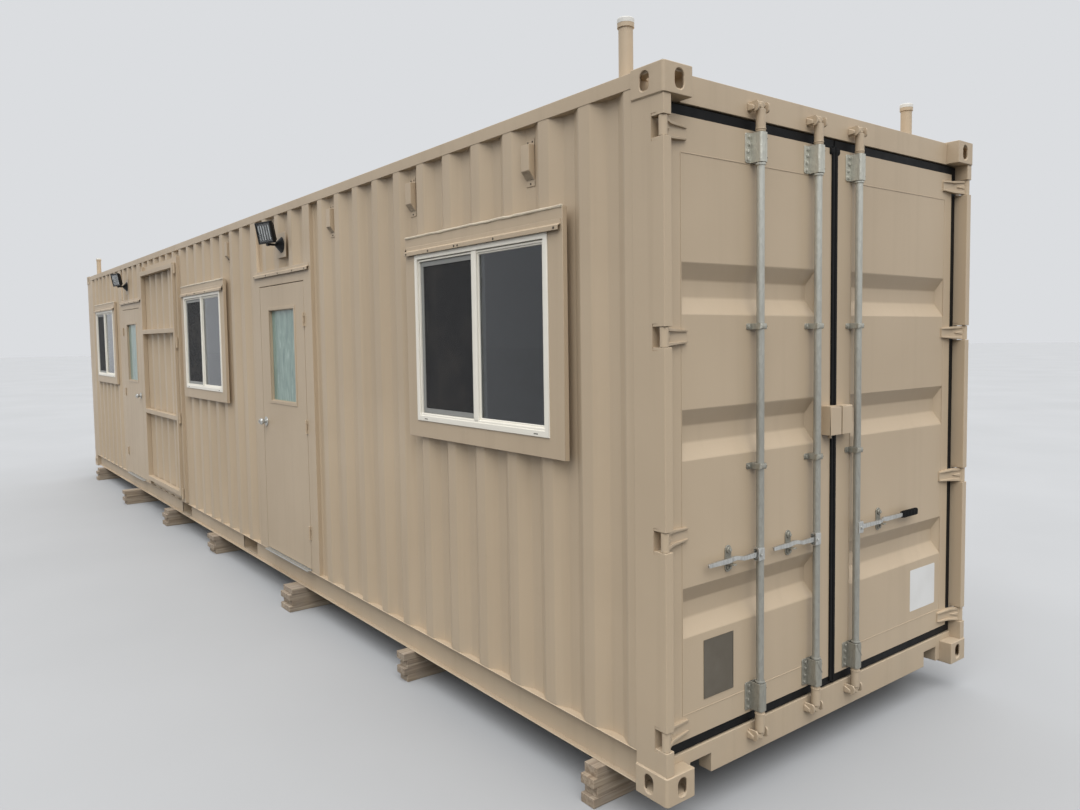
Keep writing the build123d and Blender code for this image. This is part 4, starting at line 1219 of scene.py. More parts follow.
@dataclass
class SlidingWindow:
    """One sliding window: a moulded frame with its track, a meeting stile, a screen, a sash and two panes."""

    number: int
    distance: float
    width: float = 1.194
    height: float = 0.92
    sill: float = 1.412
    front: float = -1.243
    back: float = -1.173
    face: float = 0.030
    groove: float = 0.0035
    track: float = 0.010
    stile: float = 0.046
    screen_border: float = 0.026
    sash_border: float = 0.030
    lap: float = 0.002
    track_depth: float = 0.008
    groove_depth: float = 0.024
    bead: float = 0.011
    bead_depths: tuple[float, float] = (0.013, 0.030)
    sash_depths: tuple[float, float] = (0.036, 0.062)
    stile_depths: tuple[float, float] = (0.003, 0.060)
    sill_depths: tuple[float, float] = (0.004, 0.050)
    sill_height: float = 0.011
    screen_depths: tuple[float, float] = (0.016, 0.027)
    mesh_depths: tuple[float, float] = (0.0205, 0.0222)
    pane_depths: tuple[float, float] = (0.020, 0.047)
    pane_thickness: float = 0.005
    sash_shift: float = 0.02
    stile_share: float = 0.4
    weep_shade_depths: tuple[float, float] = (-0.0004, 0.004)
    weep_shade_shifts: tuple[float, float] = (-0.5, 0.5)
    weep_shade_rise: float = 0.013
    weep_shade_reach: float = 0.016

    @property
    def middle(self) -> float:
        """X of the middle of the window."""
        return AT.along(self.distance)

    @property
    def foot(self) -> float:
        """The lowest level of the frame."""
        return AT.level(self.sill)

    def named(self, name: str) -> str:
        """The name of one of this window's pieces."""
        return f"window_{self.number}_{name}"

    def behind(self, *depths: float) -> tuple[float, ...]:
        """Y of places that are so deep behind the frame's face."""
        return tuple(self.front + depth for depth in depths)

    def ring(self, name: str, inset: float, y: Numbers, border: float) -> Workpiece:
        """A frame round the whole window, inset from its edge.

        Args:
            name: The piece's name.
            inset: How far it stays from the edge.
            y: Its ends along Y.
            border: Its width.

        Returns:
            The workpiece.
        """
        half = self.width / 2 - inset
        levels = (self.foot + inset, self.foot + self.height - inset)
        return Workpiece.ring(self.named(name), (self.middle - half, self.middle + half), y, levels, border)

    def half_ring(self, name: str, side: int, inset: float, y: Numbers, border: float) -> Workpiece:
        """A frame round one half of the window, between the track and the meeting stile.

        Args:
            name: The piece's name.
            side: 1 for the half nearer the cargo end, -1 for the other.
            inset: How far it stays from the window's edge.
            y: Its ends along Y.
            border: Its width.

        Returns:
            The workpiece.
        """
        ends = (self.middle + side * (self.width / 2 - inset), self.middle + side * self.stile * self.stile_share)
        levels = (self.foot + inset, self.foot + self.height - inset)
        return Workpiece.ring(self.named(name), ends, y, levels, border)

    def build(self) -> None:
        """Builds the window's pieces."""
        self.frame()
        self.screen()
        self.panes()

    def frame(self) -> None:
        """Builds the moulded frame, its track, the glazing bead, the sash, the stile, the sill, and the black blocks
        of painted shade in the weep slots.
        """
        step = self.face + self.groove
        inner = step + self.track
        half = self.width / 2
        frame_foot = self.foot + self.face
        outwards = every(crisp(60.0), beside(facing(0, -1, 0)))
        outer = self.ring("frame", 0.0, (self.front, self.back), self.face)
        track = self.ring("track", step, (self.front + self.track_depth, self.back), self.track)
        groove_y = (self.front + self.groove_depth, self.back)
        groove = self.ring("groove", self.face - self.lap, groove_y, self.groove + 2 * self.lap)
        bead = self.half_ring("bead", 1, inner - self.lap, self.behind(*self.bead_depths), self.bead)
        sash = self.half_ring("sash", -1, inner, self.behind(*self.sash_depths), self.sash_border)
        stile = Workpiece.block(
            self.named("stile"),
            (self.middle - self.stile / 2, self.middle + self.stile / 2),
            self.behind(*self.stile_depths),
            (frame_foot + self.lap, self.foot + self.height - self.face - self.lap),
        )
        sill = Workpiece.block(
            self.named("sill"),
            (self.middle - half + self.face, self.middle + half - self.face),
            self.behind(*self.sill_depths),
            (frame_foot - 2 * self.lap, frame_foot + self.sill_height),
        )
        outer.round_edges(0.003, 3, outwards)
        track.round_edges(0.0015, 2, crisp(60.0))
        bead.round_edges(0.004, 3, outwards)
        sash.round_edges(0.002, 2, crisp(60.0))
        stile.stepped(facing(0, -1, 0), (0.009, (0, -0.0022, 0))).round_edges(0.002, 2, crisp(50.0, 0.3))
        sill.round_edges(0.003, 2, crisp(50.0, 0.3))
        parts = [track, groove, bead, sash, stile, sill]
        outer.join(parts).done(Coat.VINYL, *(["window_frames"] if self.number == 1 else []))
        self.weep_shades()

    def weep_shades(self) -> None:
        """Builds black blocks in the sill's weep slots, painted shade standing for the dark inside of the openings."""
        slots = []
        z = self.foot + self.weep_shade_rise
        y, levels = self.behind(*self.weep_shade_depths), (z - self.lap, z + self.lap)
        for x in (self.middle + shift for shift in self.weep_shade_shifts):
            # painted shade: each black block fills a weep slot that is only dark with shade
            slot = Workpiece.block(self.named("weep_shade"), (x - self.weep_shade_reach, x + self.weep_shade_reach), y, levels)
            slots.append(slot.round_edges(0.0015, 2, along(Axis.Y, 0.002)))
        joined(self.named("weep_shade"), slots).done(Coat.RUBBER)

    def screen(self) -> None:
        """Builds the insect screen over the sliding half: a thin metal frame and its dark mesh."""
        inset = self.face + self.groove + self.track + 0.0015
        rim = self.half_ring("screen_frame", -1, inset, self.behind(*self.screen_depths), self.screen_border)
        rim.round_edges(0.002, 2, every(crisp(60.0), beside(facing(0, -1, 0)))).done(Coat.SCREEN_FRAME)
        inset += self.screen_border - 0.004
        cloth = Workpiece.block(
            self.named("screen_mesh"),
            (self.middle - self.width / 2 + inset, self.middle - self.stile * self.stile_share - self.sash_shift),
            self.behind(*self.mesh_depths),
            (self.foot + inset, self.foot + self.height - inset),
        )
        cloth.round_edges(0.002, 2, along(Axis.Y, 0.001)).done(Coat.SCREEN_MESH)

    def panes(self) -> None:
        """Builds the two panes, with ground edges."""
        inset = self.face + self.groove + self.track
        edge = self.width / 2 - inset
        levels = (self.foot + inset, self.foot + self.height - inset)
        panes = []
        ends = ((self.middle, self.middle + edge), (self.middle - edge + self.sash_shift, self.middle))
        for name, x, depth in zip(("fixed_pane", "sash_pane"), ends, self.pane_depths):
            pane = Workpiece.block(self.named(name), x, self.behind(depth, depth + self.pane_thickness), levels)
            panes.append(pane.round_edges(0.001, 1, crisp(50.0, 0.3)))
        nodes = ["window_glass"] if self.number == 1 else []
        joined(self.named("fixed_pane"), panes).done(Coat.CLEAR, *nodes)


@dataclass
class Surrounds:
    """The flat steel surrounds of the windows, with sealed upper and lower edges and screwed drip caps."""

    side: float = 0.106
    head: float = 0.098
    foot: float = 0.092
    thickness: float = 0.026
    cap_depth: float = 0.018
    cap_screw_rise: float = 0.007
    cap_screw_inset: float = 0.02
    sealed_depths: tuple[float, float] = (0.002, 0.020)
    sealed_radii: tuple[float, float] = (0.007, 0.003)
    screw_shares: tuple[float, ...] = (0.012, 0.19, 0.385, 0.41, 0.645, 0.985)

    def build(self) -> None:
        """Builds surrounds, the beads along their edges in a lighter coat of painted highlight, and screws."""
        piece = Workpiece.from_node("window_surrounds_pressed", "window_surrounds")
        piece.round_edges(0.0018, 2, crisp(60.0, 0.2)).done(Coat.PAINT, "window_surrounds")
        beads, places = [], []
        front = -AT.wall - self.thickness - self.cap_depth + 0.0003
        depths = [-AT.wall - self.thickness + depth for depth in self.sealed_depths]
        for window in (SlidingWindow(number, distance) for number, distance in enumerate(WINDOWS)):
            half = window.width / 2 + self.side
            low, high = window.middle - half, window.middle + half
            top = window.sill + window.height
            levels = (AT.level(top + self.head), AT.level(window.sill - self.foot))
            for y, z, radius in zip(depths, levels, self.sealed_radii):
                beads.append(weld_bead("seal", (low, y, z), (high, y, z), radius, len(beads)))
            left, run = low + self.cap_screw_inset, 2 * (half - self.cap_screw_inset)
            z = AT.level(top + self.cap_screw_rise)
            places += [(left + share * run, front, z) for share in self.screw_shares]
        # painted highlight: the beads are coloured lighter than the paint for the light along their tops
        joined("surround_beads_highlit", beads).done(Coat.BEAD_HIGHLIGHT)
        screws("window_cap_screws", (0.0042, 0.003, 0.0012), places)


@dataclass
class CargoDoorLook:
    """One cargo door: its pressed leaf with closed bands and a welded seam, and its seal."""

    body: Body
    name: str
    side: int
    post: float = 0.049
    edge: float = 0.046
    centre_side: float = 0.019
    stile: float = 0.072
    centre_stile: float = 0.125
    panel_foot: float = 0.2995
    panel_head: float = 2.588
    seam_width: float = 0.004
    seam_height: float = 0.0018
    bands: tuple[float, ...] = (0.727, 1.459, 2.052)
    band_flat: float = 0.035
    band_slope: float = 0.071
    band_depth: float = 0.036
    band_end: float = 0.03
    fold: float = 0.006
    lip_gap: float = 0.002
    lip_reach: float = 0.022
    lip_proud: float = 0.009
    lip_below: float = 0.125
    lip_above: float = 0.148
    flap_reach: float = 0.016

    @property
    def outer(self) -> float:
        """Y of the panel's edge at the hinge side."""
        return self.side * (AT.half_width - self.post - self.edge - self.stile)

    @property
    def inner(self) -> float:
        """Y of the panel's edge at the centre side."""
        return self.side * (self.centre_side + self.centre_stile)

    def build(self) -> None:
        """Builds the leaf and its seal."""
        leaf = Workpiece.from_node(f"{self.name}_pressed", self.name)
        leaf.round_edges(self.fold, 3, folds((0, 1, 0), 15.0, 40.0, 0.5))
        leaf.round_edges(0.0015, 2, every(past(Axis.X, AT.leaf + 0.004), crisp(45.0, 0.012)))
        ends = [
            self.band_closure(place, inward, AT.level(height))
            for height in self.bands
            for place, inward in ((self.outer, -self.side), (self.inner, self.side))
        ]
        leaf.join([*ends, self.seam()]).done(Coat.DOOR, self.name, body=self.body)
        node = f"{self.name}_gasket"
        seal = Workpiece.from_node(f"{node}_lipped", node).round_edges(0.003, 3, crisp(60.0, 0.3))
        seal.join([self.lip(), self.flap()]).done(Coat.RUBBER, node, body=self.body)

    def seam(self) -> Workpiece:
        """The welded seam round the pressed sheet.

        Returns:
            The workpiece.
        """
        x = (AT.leaf - 0.001, AT.leaf + self.seam_height)
        z = (AT.level(self.panel_foot), AT.level(self.panel_head))
        seam = Workpiece.ring(f"{self.name}_seam", x, (self.outer, self.inner), z, self.seam_width, Axis.X)
        return seam.round_edges(0.0012, 2, lambda edge: sharp(edge, 60.0) and edge.verts[0].co.x > AT.leaf)

    def band_closure(self, place: float, inward: int, z: float) -> Workpiece:
        """The sloping end of one band.

        Args:
            place: Y of the panel's edge.
            inward: The direction along Y into the panel.
            z: The middle level of the band.

        Returns:
            The closed wedge that fills the end.
        """
        half = self.band_flat + self.band_slope
        far = place + inward * self.band_end
        back = AT.leaf - 0.01
        wedge = Workpiece.block("band_end", (AT.leaf - self.band_depth, AT.leaf), (place, far), (z - half, z + half))
        narrowed = {"value": (1, 1, self.band_flat / half), "center_override": (0, 0, z)}
        with wedge.edit():
            wedge.edges(lambda edge: all(vert.co.x < back for vert in edge.verts))
            bpy.ops.transform.resize(**narrowed)
            wedge.edges(lambda edge: all(vert.co.x > back and abs(vert.co.y - far) < 0.0005 for vert in edge.verts))
            bpy.ops.transform.resize(**narrowed)
            bpy.ops.transform.translate(value=(-self.band_depth, 0, 0))
            bpy.ops.mesh.select_all(action="SELECT")
            bpy.ops.mesh.remove_doubles(threshold=0.0002)
            bpy.ops.mesh.normals_make_consistent(inside=False)
        return wedge

    def lip(self) -> Workpiece:
        """The bulging lip down the seal's edge at the centre."""
        lip = Workpiece.block(
            f"{self.name}_lip",
            (AT.leaf - 0.006, AT.leaf + self.lip_proud),
            (self.side * self.lip_gap, self.side * self.lip_reach),
            (AT.level(self.panel_foot - self.lip_below), AT.level(self.panel_head + self.lip_above)),
        )
        return lip.round_edges(0.006, 4, every(along(Axis.Z, 0.3), past(Axis.X, AT.leaf)))

    def flap(self) -> Workpiece:
        """The corner of the seal that curls forward where the lip meets the top of the door.

        Returns:
            The workpiece.
        """
        top = AT.level(self.panel_head + self.lip_above)
        flap = Workpiece.block(
            f"{self.name}_flap",
            (AT.leaf - 0.004, AT.leaf + 0.002),
            (self.side * self.lip_gap, self.side * (self.lip_reach + self.flap_reach)),
            (top - 0.036, top - 0.004),
        )
        flap.stepped(facing(1, 0, 0), (0.0, (0.009, 0, 0.002))).reshaped(facing(1, 0, 0), (1, 0.8, 0.6))
        return flap.round_edges(0.004, 3, crisp(30.0))


RODS = (
    (1, 0.62, -1, 0.330, 0.171, Body.ROD_1, Body.LEFT_DOOR),
    (2, 1.037, -1, 0.315, 0.170, Body.ROD_2, Body.LEFT_DOOR),
    (3, 1.369, 1, 0.580, 0.254, Body.ROD_3, Body.RIGHT_DOOR),
)


@dataclass
class LockRod:
    """One lock rod with its cams, collars and handle, and the brackets, clamps and catch on its door."""

    number: int
    distance: float
    side: int
    reach: float
    catch: float
    rod_body: Body
    door_body: Body
    bolt: Fastener
    radius: float = 0.017
    foot: float = 0.0845
    top: float = 2.841
    cam_height: float = 0.03
    cam_radius: float = 0.0135
    lobe_reach: float = 0.0235
    neck_radius: float = 0.021
    bracket_height: float = 0.125
    lower_bracket: float = 0.2105
    upper_bracket: float = 2.590
    flange: float = 0.057
    plate: float = 0.005
    guide: float = 0.023
    clamp_height: float = 0.026
    clamp_flange: float = 0.048
    clamps: tuple[float, ...] = (1.295, 1.898)
    bracket_bolts: tuple[float, ...] = (-0.38, -0.12, 0.14, 0.38)
    bracket_hole_shades: tuple[float, ...] = (-0.34, 0.3)
    handle_level: float = 0.912
    shortest_catch: float = 0.171
    grip_length: float = 0.148
    catch_width: float = 0.019
    catch_height: float = 0.058
    boss_height: float = 0.037
    boss_radius: float = 0.0145
    shelf: tuple[float, float] = (0.0238, 0.0182)
    guide_thickness: float = 0.0055
    collar_gap: float = 0.0065
    collar_proud: float = 0.005
    collar_height: float = 0.009
    ring_gap: float = 0.012
    ring_proud: float = 0.002
    ring_height: float = 0.006
    neck_gap: float = 0.002
    bracket_bolt_line: float = 0.041
    clamp_bolt_line: float = 0.037
    hole_radius: float = 0.0038
    hub_x: tuple[float, float] = (-0.012, 0.0195)
    hub_y: tuple[float, float] = (-0.008, 0.032)
    hub_reach: float = 0.030
    hub_bolt: float = 0.017
    washer_radius: float = 0.0115
    handle_thickness: float = 0.0104
    grip_half: tuple[float, float] = (0.009, 0.0165)

    @property
    def y(self) -> float:
        """Y of the rod."""
        return AT.across(self.distance)

    def named(self, name: str) -> str:
        """The name of one of this rod's pieces."""
        return f"rod_{self.number}_{name}"

    def beside(self, distance: float) -> float:
        """Y of a place beside the rod, towards its handle's tip."""
        return self.y + self.side * distance

    def turned(self, name: str, z: float, radius: float, height: float, sides: int) -> Workpiece:
        """A round piece on the rod's own axis."""
        return Workpiece.drum(self.named(name), (AT.rod_x, self.y, z), radius, height, Axis.Z, sides)

    def build(self) -> None:
        """Builds the rod, its handle and everything that holds them."""
        self.rod()
        self.ends()
        self.handle()
        self.holders()

    def rod(self) -> None:
        """Builds the tube between the cams, with its end collars."""
        low, high = AT.level(self.foot + self.cam_height), AT.level(self.top - self.cam_height)
        tube = self.turned("tube", (low + high) / 2, self.radius, high - low, 28)
        radius, height = self.radius + self.collar_proud, self.collar_height
        lower_top = self.lower_bracket + self.bracket_height
        levels = [AT.level(lower_top + self.collar_gap), AT.level(self.upper_bracket - self.collar_gap)]
        rings = [self.turned("collar", z, radius, height, 28).round_edges(0.002, 2, crisp(60.0)) for z in levels]
        tube.join(rings).done(Coat.ZINC, f"lock_rod_{self.number}", body=self.rod_body)

    def ends(self) -> None:
        """Builds the painted necks and lobed cams at both ends."""
        pieces = []
        cam_top = self.top - self.cam_height
        above = self.upper_bracket + self.bracket_height + self.neck_gap
        for end, cam_foot, neck_low, neck_high in (
            (-1, self.foot, self.foot + self.cam_height, self.lower_bracket - self.neck_gap),
            (1, cam_top, above, cam_top),
        ):
            low, high, z = AT.level(neck_low), AT.level(neck_high), AT.level(cam_foot)
            ring_z = (low if end > 0 else high) + end * self.ring_gap
            neck = self.turned("neck", (low + high) / 2, self.neck_radius, high - low, 24)
            cam = self.turned("cam", z + self.cam_height / 2, self.cam_radius, self.cam_height, 16)
            ring = self.turned("ring", ring_z, self.neck_radius + self.ring_proud, self.ring_height, 24)
            pieces.append(neck.round_edges(0.003, 2, crisp(60.0)))
            pieces.append(cam.round_edges(0.004, 3, crisp(60.0)))
            pieces.append(ring.round_edges(0.002, 2, crisp(60.0)))
            pieces += [self.lobe(way, z) for way in (-1, 1)]
        joined(self.named("cams"), pieces).done(Coat.CAST, body=self.rod_body)

    def lobe(self, way: int, z: float) -> Workpiece:
        """One lobe of a cam, the left one set a little lower.

        Args:
            way: The side of the rod along Y.
            z: The foot of the cam.

        Returns:
            The workpiece.
        """
        lobe = Workpiece.block(
            self.named("lobe"),
            (AT.rod_x - 0.010, AT.rod_x + 0.012),
            (self.y, self.y + way * self.lobe_reach),
            (z + 0.003 + 0.004 * (way > 0), z + self.cam_height - 0.004 * (way < 0) - 0.002),
        )
        return lobe.reshaped(facing(0, way, 0), (0.65, 1.0, 0.6)).round_edges(0.004, 3, crisp(45.0))

    def handle(self) -> None:
        """Builds the forked clamp on the rod, its bolt, the stamped handle and, on the third rod, the grip."""
        z = AT.level(self.handle_level)
        x, y = [AT.rod_x + depth for depth in self.hub_x], [self.beside(distance) for distance in self.hub_y]
        hub = Workpiece.block(self.named("clamp"), x, y, (z - self.hub_reach, z + self.hub_reach))
        hub.round_edges(0.008, 4, every(crisp(30.0), along(Axis.Y, 0.02)))
        hub.round_edges(0.0015, 2, crisp(60.0))
        hub.stepped(
            lambda face: face.normal.y * self.side > ALIGNED and face.calc_area() > 0.0004,
            (0.004, (0, -self.side * 0.014, 0)),
        )
        bolt = self.bolt.at((AT.rod_x + 0.0193, self.beside(self.hub_bolt), z - 0.002), 90.0)
        seat = (AT.rod_x + 0.0198, self.beside(self.hub_bolt), z - 0.002)
        washer = Workpiece.drum(self.named("washer"), seat, self.washer_radius, 0.0016, Axis.X, 20)
        near, far = AT.rod_x + 0.006, AT.rod_x - 0.006
        bend = self.catch - self.shortest_catch
        stations = (
            (near, 0.016, 0.0, 0.012),
            (near, 0.075 + bend * 0.4, 0.0, 0.0105),
            (near, 0.118 + bend, -0.001, 0.0095),
            (near + 0.001, 0.134 + bend, 0.003, 0.009),
            (far + 0.005, 0.156 + bend, 0.006, 0.009),
            (far, 0.172 + bend, 0.004, 0.0105),
            (far, 0.2 + bend, 0.0, 0.0115),
            (far, (0.2 + bend + self.reach) / 2, 0.0, 0.010),
            (far, self.reach - 0.004, -0.001, 0.0085),
            (far, self.reach, -0.001, 0.0055),
        )
        path = [(x, self.beside(way), z + rise, half) for x, way, rise, half in stations]
        bar = Workpiece.strap(self.named("handle"), path, self.handle_thickness / 2)
        bar.round_edges(0.0022, 2, crisp(40.0, 0.004))
        hub.join([bolt, washer, bar]).done(Coat.HANDLE, body=self.rod_body)
        if self.side > 0:
            self.grip(far, z)

    def grip(self, x: float, z: float) -> None:
        """Builds the rubber grip with its grooves over the handle's tip.

        Args:
            x: X of the handle's middle.
            z: Its level.
        """
        start, bands = self.beside(self.reach - self.grip_length), 10
        (deep, high), ends = self.grip_half, (start, self.beside(self.reach))
        grip = Workpiece.block(self.named("grip"), (x - deep, x + deep), ends, (z - high, z + high))
        grip.round_edges(0.006, 3, every(crisp(30.0), along(Axis.Y, 0.05)))
        with grip.edit():
            grip.edges(along(Axis.Y, 0.05))
            bpy.ops.mesh.subdivide(number_cuts=bands - 1)

        def raised(face: Face) -> bool:
            """True for a face round the grip in every second band."""
            band = int((face.calc_center_median().y - start) / (self.grip_length / bands))
            return abs(face.normal.y) < 0.5 and band % 2 == 1

        grip.ribbed(0.0008, raised).round_edges(0.002, 2, crisp(70.0)).done(Coat.RUBBER, body=self.rod_body)

    def holders(self) -> None:
        """Builds the brackets and clamps round the rod, their bolts, black discs of painted shade in their pin
        openings, and the handle's catch.
        """
        plates, hole_shades = [], []
        for low in (self.lower_bracket, self.upper_bracket):
            plates += self.guide_on_plate(low, low + self.bracket_height, self.flange)
            z = AT.level(low + self.bracket_height / 2)
            for share in self.bracket_bolts:
                y = self.y - self.bracket_bolt_line + 0.006 * (share > 0)
                plates.append(self.bolt.on_leaf(self.plate, y, z + share * self.bracket_height))
            # painted shade: black discs stand for the dark inside of the pin openings in each guide
            hole_shades += [self.painted_hole_shade(z + share * self.bracket_height) for share in self.bracket_hole_shades]
            if low == self.lower_bracket and self.number > 1:
                plates.append(self.guard(low))
        for height in self.clamps:
            low = height - self.clamp_height / 2
            plates += self.guide_on_plate(low, low + self.clamp_height, self.clamp_flange)
            plates.append(self.bolt.on_leaf(self.plate, self.y - self.clamp_bolt_line, AT.level(height)))
            hole_shades.append(self.painted_hole_shade(AT.level(height)))
        plates += self.catch_pieces()
        names = {1: ["cargo_door_left_hardware"], 3: ["cargo_door_right_hardware"]}
        whole = joined(self.named("brackets"), plates)
        whole.done(Coat.BRACKET, *names.get(self.number, []), body=self.door_body)
        joined(self.named("pin_hole_shades"), hole_shades).done(Coat.RUBBER, body=self.door_body)

    def guide_on_plate(self, low: float, high: float, flange: float) -> list[Workpiece]:
        """A flange on the door and the folded guide round the rod.

        Args:
            low: The lowest level of the bracket.
            high: Its highest level.
            flange: How far its flange reaches from the rod.

        Returns:
            The pieces.
        """
        levels = (AT.level(low), AT.level(high))
        half, outer = self.guide, self.y - 0.01
        plate = Workpiece.block(
            self.named("plate"), (AT.leaf - 0.0005, AT.leaf + self.plate), (self.y - flange, self.y), levels
        )
        plate.round_edges(
            min(0.008, (high - low) * 0.3),
            3,
            lambda edge: all(vert.co.y < outer for vert in edge.verts) and span(edge, Axis.X) > 0.003,
        )
        cover = Workpiece.block(
            self.named("guide"), (AT.leaf, AT.rod_x + half - 0.0003), (self.y - half, self.y + half), levels
        )
        outwards = every(past(Axis.X, AT.rod_x + half - 0.002), crisp(30.0, (high - low) * 0.9))
        cover.round_edges(0.012, 5, outwards).opened(Axis.Z, self.guide_thickness)
        return [piece.round_edges(0.001, 1, crisp(60.0)) for piece in (plate, cover)]

    def guard(self, low: float) -> Workpiece:
        """The folded edge that runs aslant over a lower bracket.

        Args:
            low: The bracket's foot.

        Returns:
            The workpiece.
        """
        z = AT.level(low)
        stations = ((0.0225, -0.020, self.bracket_height - 0.004), (0.0232, -0.004, self.bracket_height * 0.74))
        stations += ((0.0225, 0.020, self.bracket_height * 0.50),)
        path = [(AT.rod_x + proud, self.y + across, z + rise, 0.003) for proud, across, rise in stations]
        return Workpiece.strap(self.named("guard"), path, 0.0015).round_edges(0.0008, 1, crisp(50.0, 0.002))

    def painted_hole_shade(self, z: float) -> Workpiece:
        """A black disc in the side of a guide, painted shade standing for the dark inside of a pin opening.

        Args:
            z: Its level.

        Returns:
            The workpiece.
        """
        seat = (AT.rod_x + 0.0145, self.y + self.guide - 0.0012, z)
        # painted shade: the disc takes the black rubber coat so that the opening reads dark
        hole = Workpiece.drum(self.named("hole"), seat, self.hole_radius, 0.004, Axis.Y, 14)
        return hole.stepped(facing(0, 1, 0), (0.0008, (0, -0.0008, 0)))

    def catch_pieces(self) -> list[Workpiece]:
        """The catch: a plate with round ends, a bolt on a boss in each, and a shelf.

        Returns:
            The pieces.
        """
        y, z = self.beside(self.catch), AT.level(self.handle_level)
        ends = (y - self.catch_width, y + self.catch_width)
        levels = (z - self.catch_height, z + self.catch_height)
        plate = Workpiece.block(self.named("catch"), (AT.leaf - 0.0005, AT.leaf + 0.006), ends, levels)
        plate.round_edges(0.0185, 6, every(crisp(30.0), along(Axis.X, 0.004)))
        pieces = [plate.round_edges(0.001, 1, crisp(60.0))]
        for height in (z - self.boss_height, z + self.boss_height):
            boss = Workpiece.drum(self.named("boss"), (AT.leaf + 0.01, y, height), self.boss_radius, 0.008, Axis.X, 20)
            pieces.append(boss.round_edges(0.003, 2, crisp(60.0)))
            pieces.append(self.bolt.on_leaf(0.014, y, height))
        shelf_z = [z - depth for depth in self.shelf]
        shelf = Workpiece.block(self.named("shelf"), (AT.leaf, AT.rod_x + 0.005), ends, shelf_z)
        shelf.reshaped(facing(1, 0, 0), (1.0, 0.55, 1.0)).round_edges(0.0015, 2, crisp(45.0))
        return [*pieces, shelf]


@dataclass
class Keepers:
    """The cast hooks on the beams, to both sides of each cam."""

    face: float = 6.030
    spread: float = 0.039
    feet: tuple[float, float] = (0.0825, 2.799)
    proud: float = 0.034
    thickness: tuple[float, float] = (-0.001, 0.0095)
    rise: tuple[float, float] = (0.004, 0.038)
    lean: float = 0.006

    def build(self) -> None:
        """Builds the hooks of all three rods."""
        hooks = []
        for rod in RODS:
            y = AT.across(rod[1])
            for z in (AT.level(foot) for foot in self.feet):
                for side in (-1, 1):
                    ends = [y + side * (self.spread + part) for part in self.thickness]
                    levels = [z + rise for rise in self.rise]
                    hook = Workpiece.block("hook", (self.face, self.face + self.proud), ends, levels)
                    hook.reshaped(facing(1, 0, 0), (1.0, 0.7, 0.5), (0, 0, self.lean * side))
                    hooks.append(hook.round_edges(0.004, 3, crisp(30.0)))
        joined("keeper_hooks", hooks).done(Coat.CAST)


@dataclass
class DoorPlates:
    """The bare rating plate and the bare sticker on the cargo doors, each by its sides, foot and top."""

    plate: tuple[float, float, float, float] = (0.297, 0.486, 0.338, 0.589)
    sticker: tuple[float, float, float, float] = (1.955, 2.215, 0.352, 0.578)
    plate_thickness: float = 0.0025
    sticker_thickness: float = 0.0004
    rivet_inset: float = 0.011
    rivet_radius: float = 0.0032

    def sheet(self, name: str, sides: Numbers, thickness: float) -> Workpiece:
        """A flat sheet on a cargo door's face.

        Args:
            name: Its name.
            sides: Its left side, right side, foot and top.
            thickness: Its thickness.

        Returns:
            The workpiece.
        """
        left, right, foot, top = sides
        y, z = (AT.across(left), AT.across(right)), (AT.level(foot), AT.level(top))
        return Workpiece.block(name, (AT.leaf, AT.leaf + thickness), y, z)

    def build(self) -> None:
        """Builds both."""
        plate = self.sheet("rating_plate", self.plate, self.plate_thickness)
        plate.stepped(facing(1, 0, 0), (0.005, (0, 0, 0)), (0.0008, (-0.0008, 0, 0)))
        left, right, foot, top = self.plate
        rivets = []
        for y in (left + self.rivet_inset, right - self.rivet_inset):
            for z in (foot + self.rivet_inset, top - self.rivet_inset):
                place = (AT.leaf + 0.0014, AT.across(y), AT.level(z))
                rivets.append(Workpiece.ball("rivet", place, self.rivet_radius, 10, (0.5, 1, 1)))
        plate.join(rivets).done(Coat.PLATE, body=Body.LEFT_DOOR)
        sticker = self.sheet("bare_sticker", self.sticker, self.sticker_thickness)
        sticker.round_edges(0.006, 3, along(Axis.X, 0.0003)).done(Coat.STICKER, body=Body.RIGHT_DOOR)


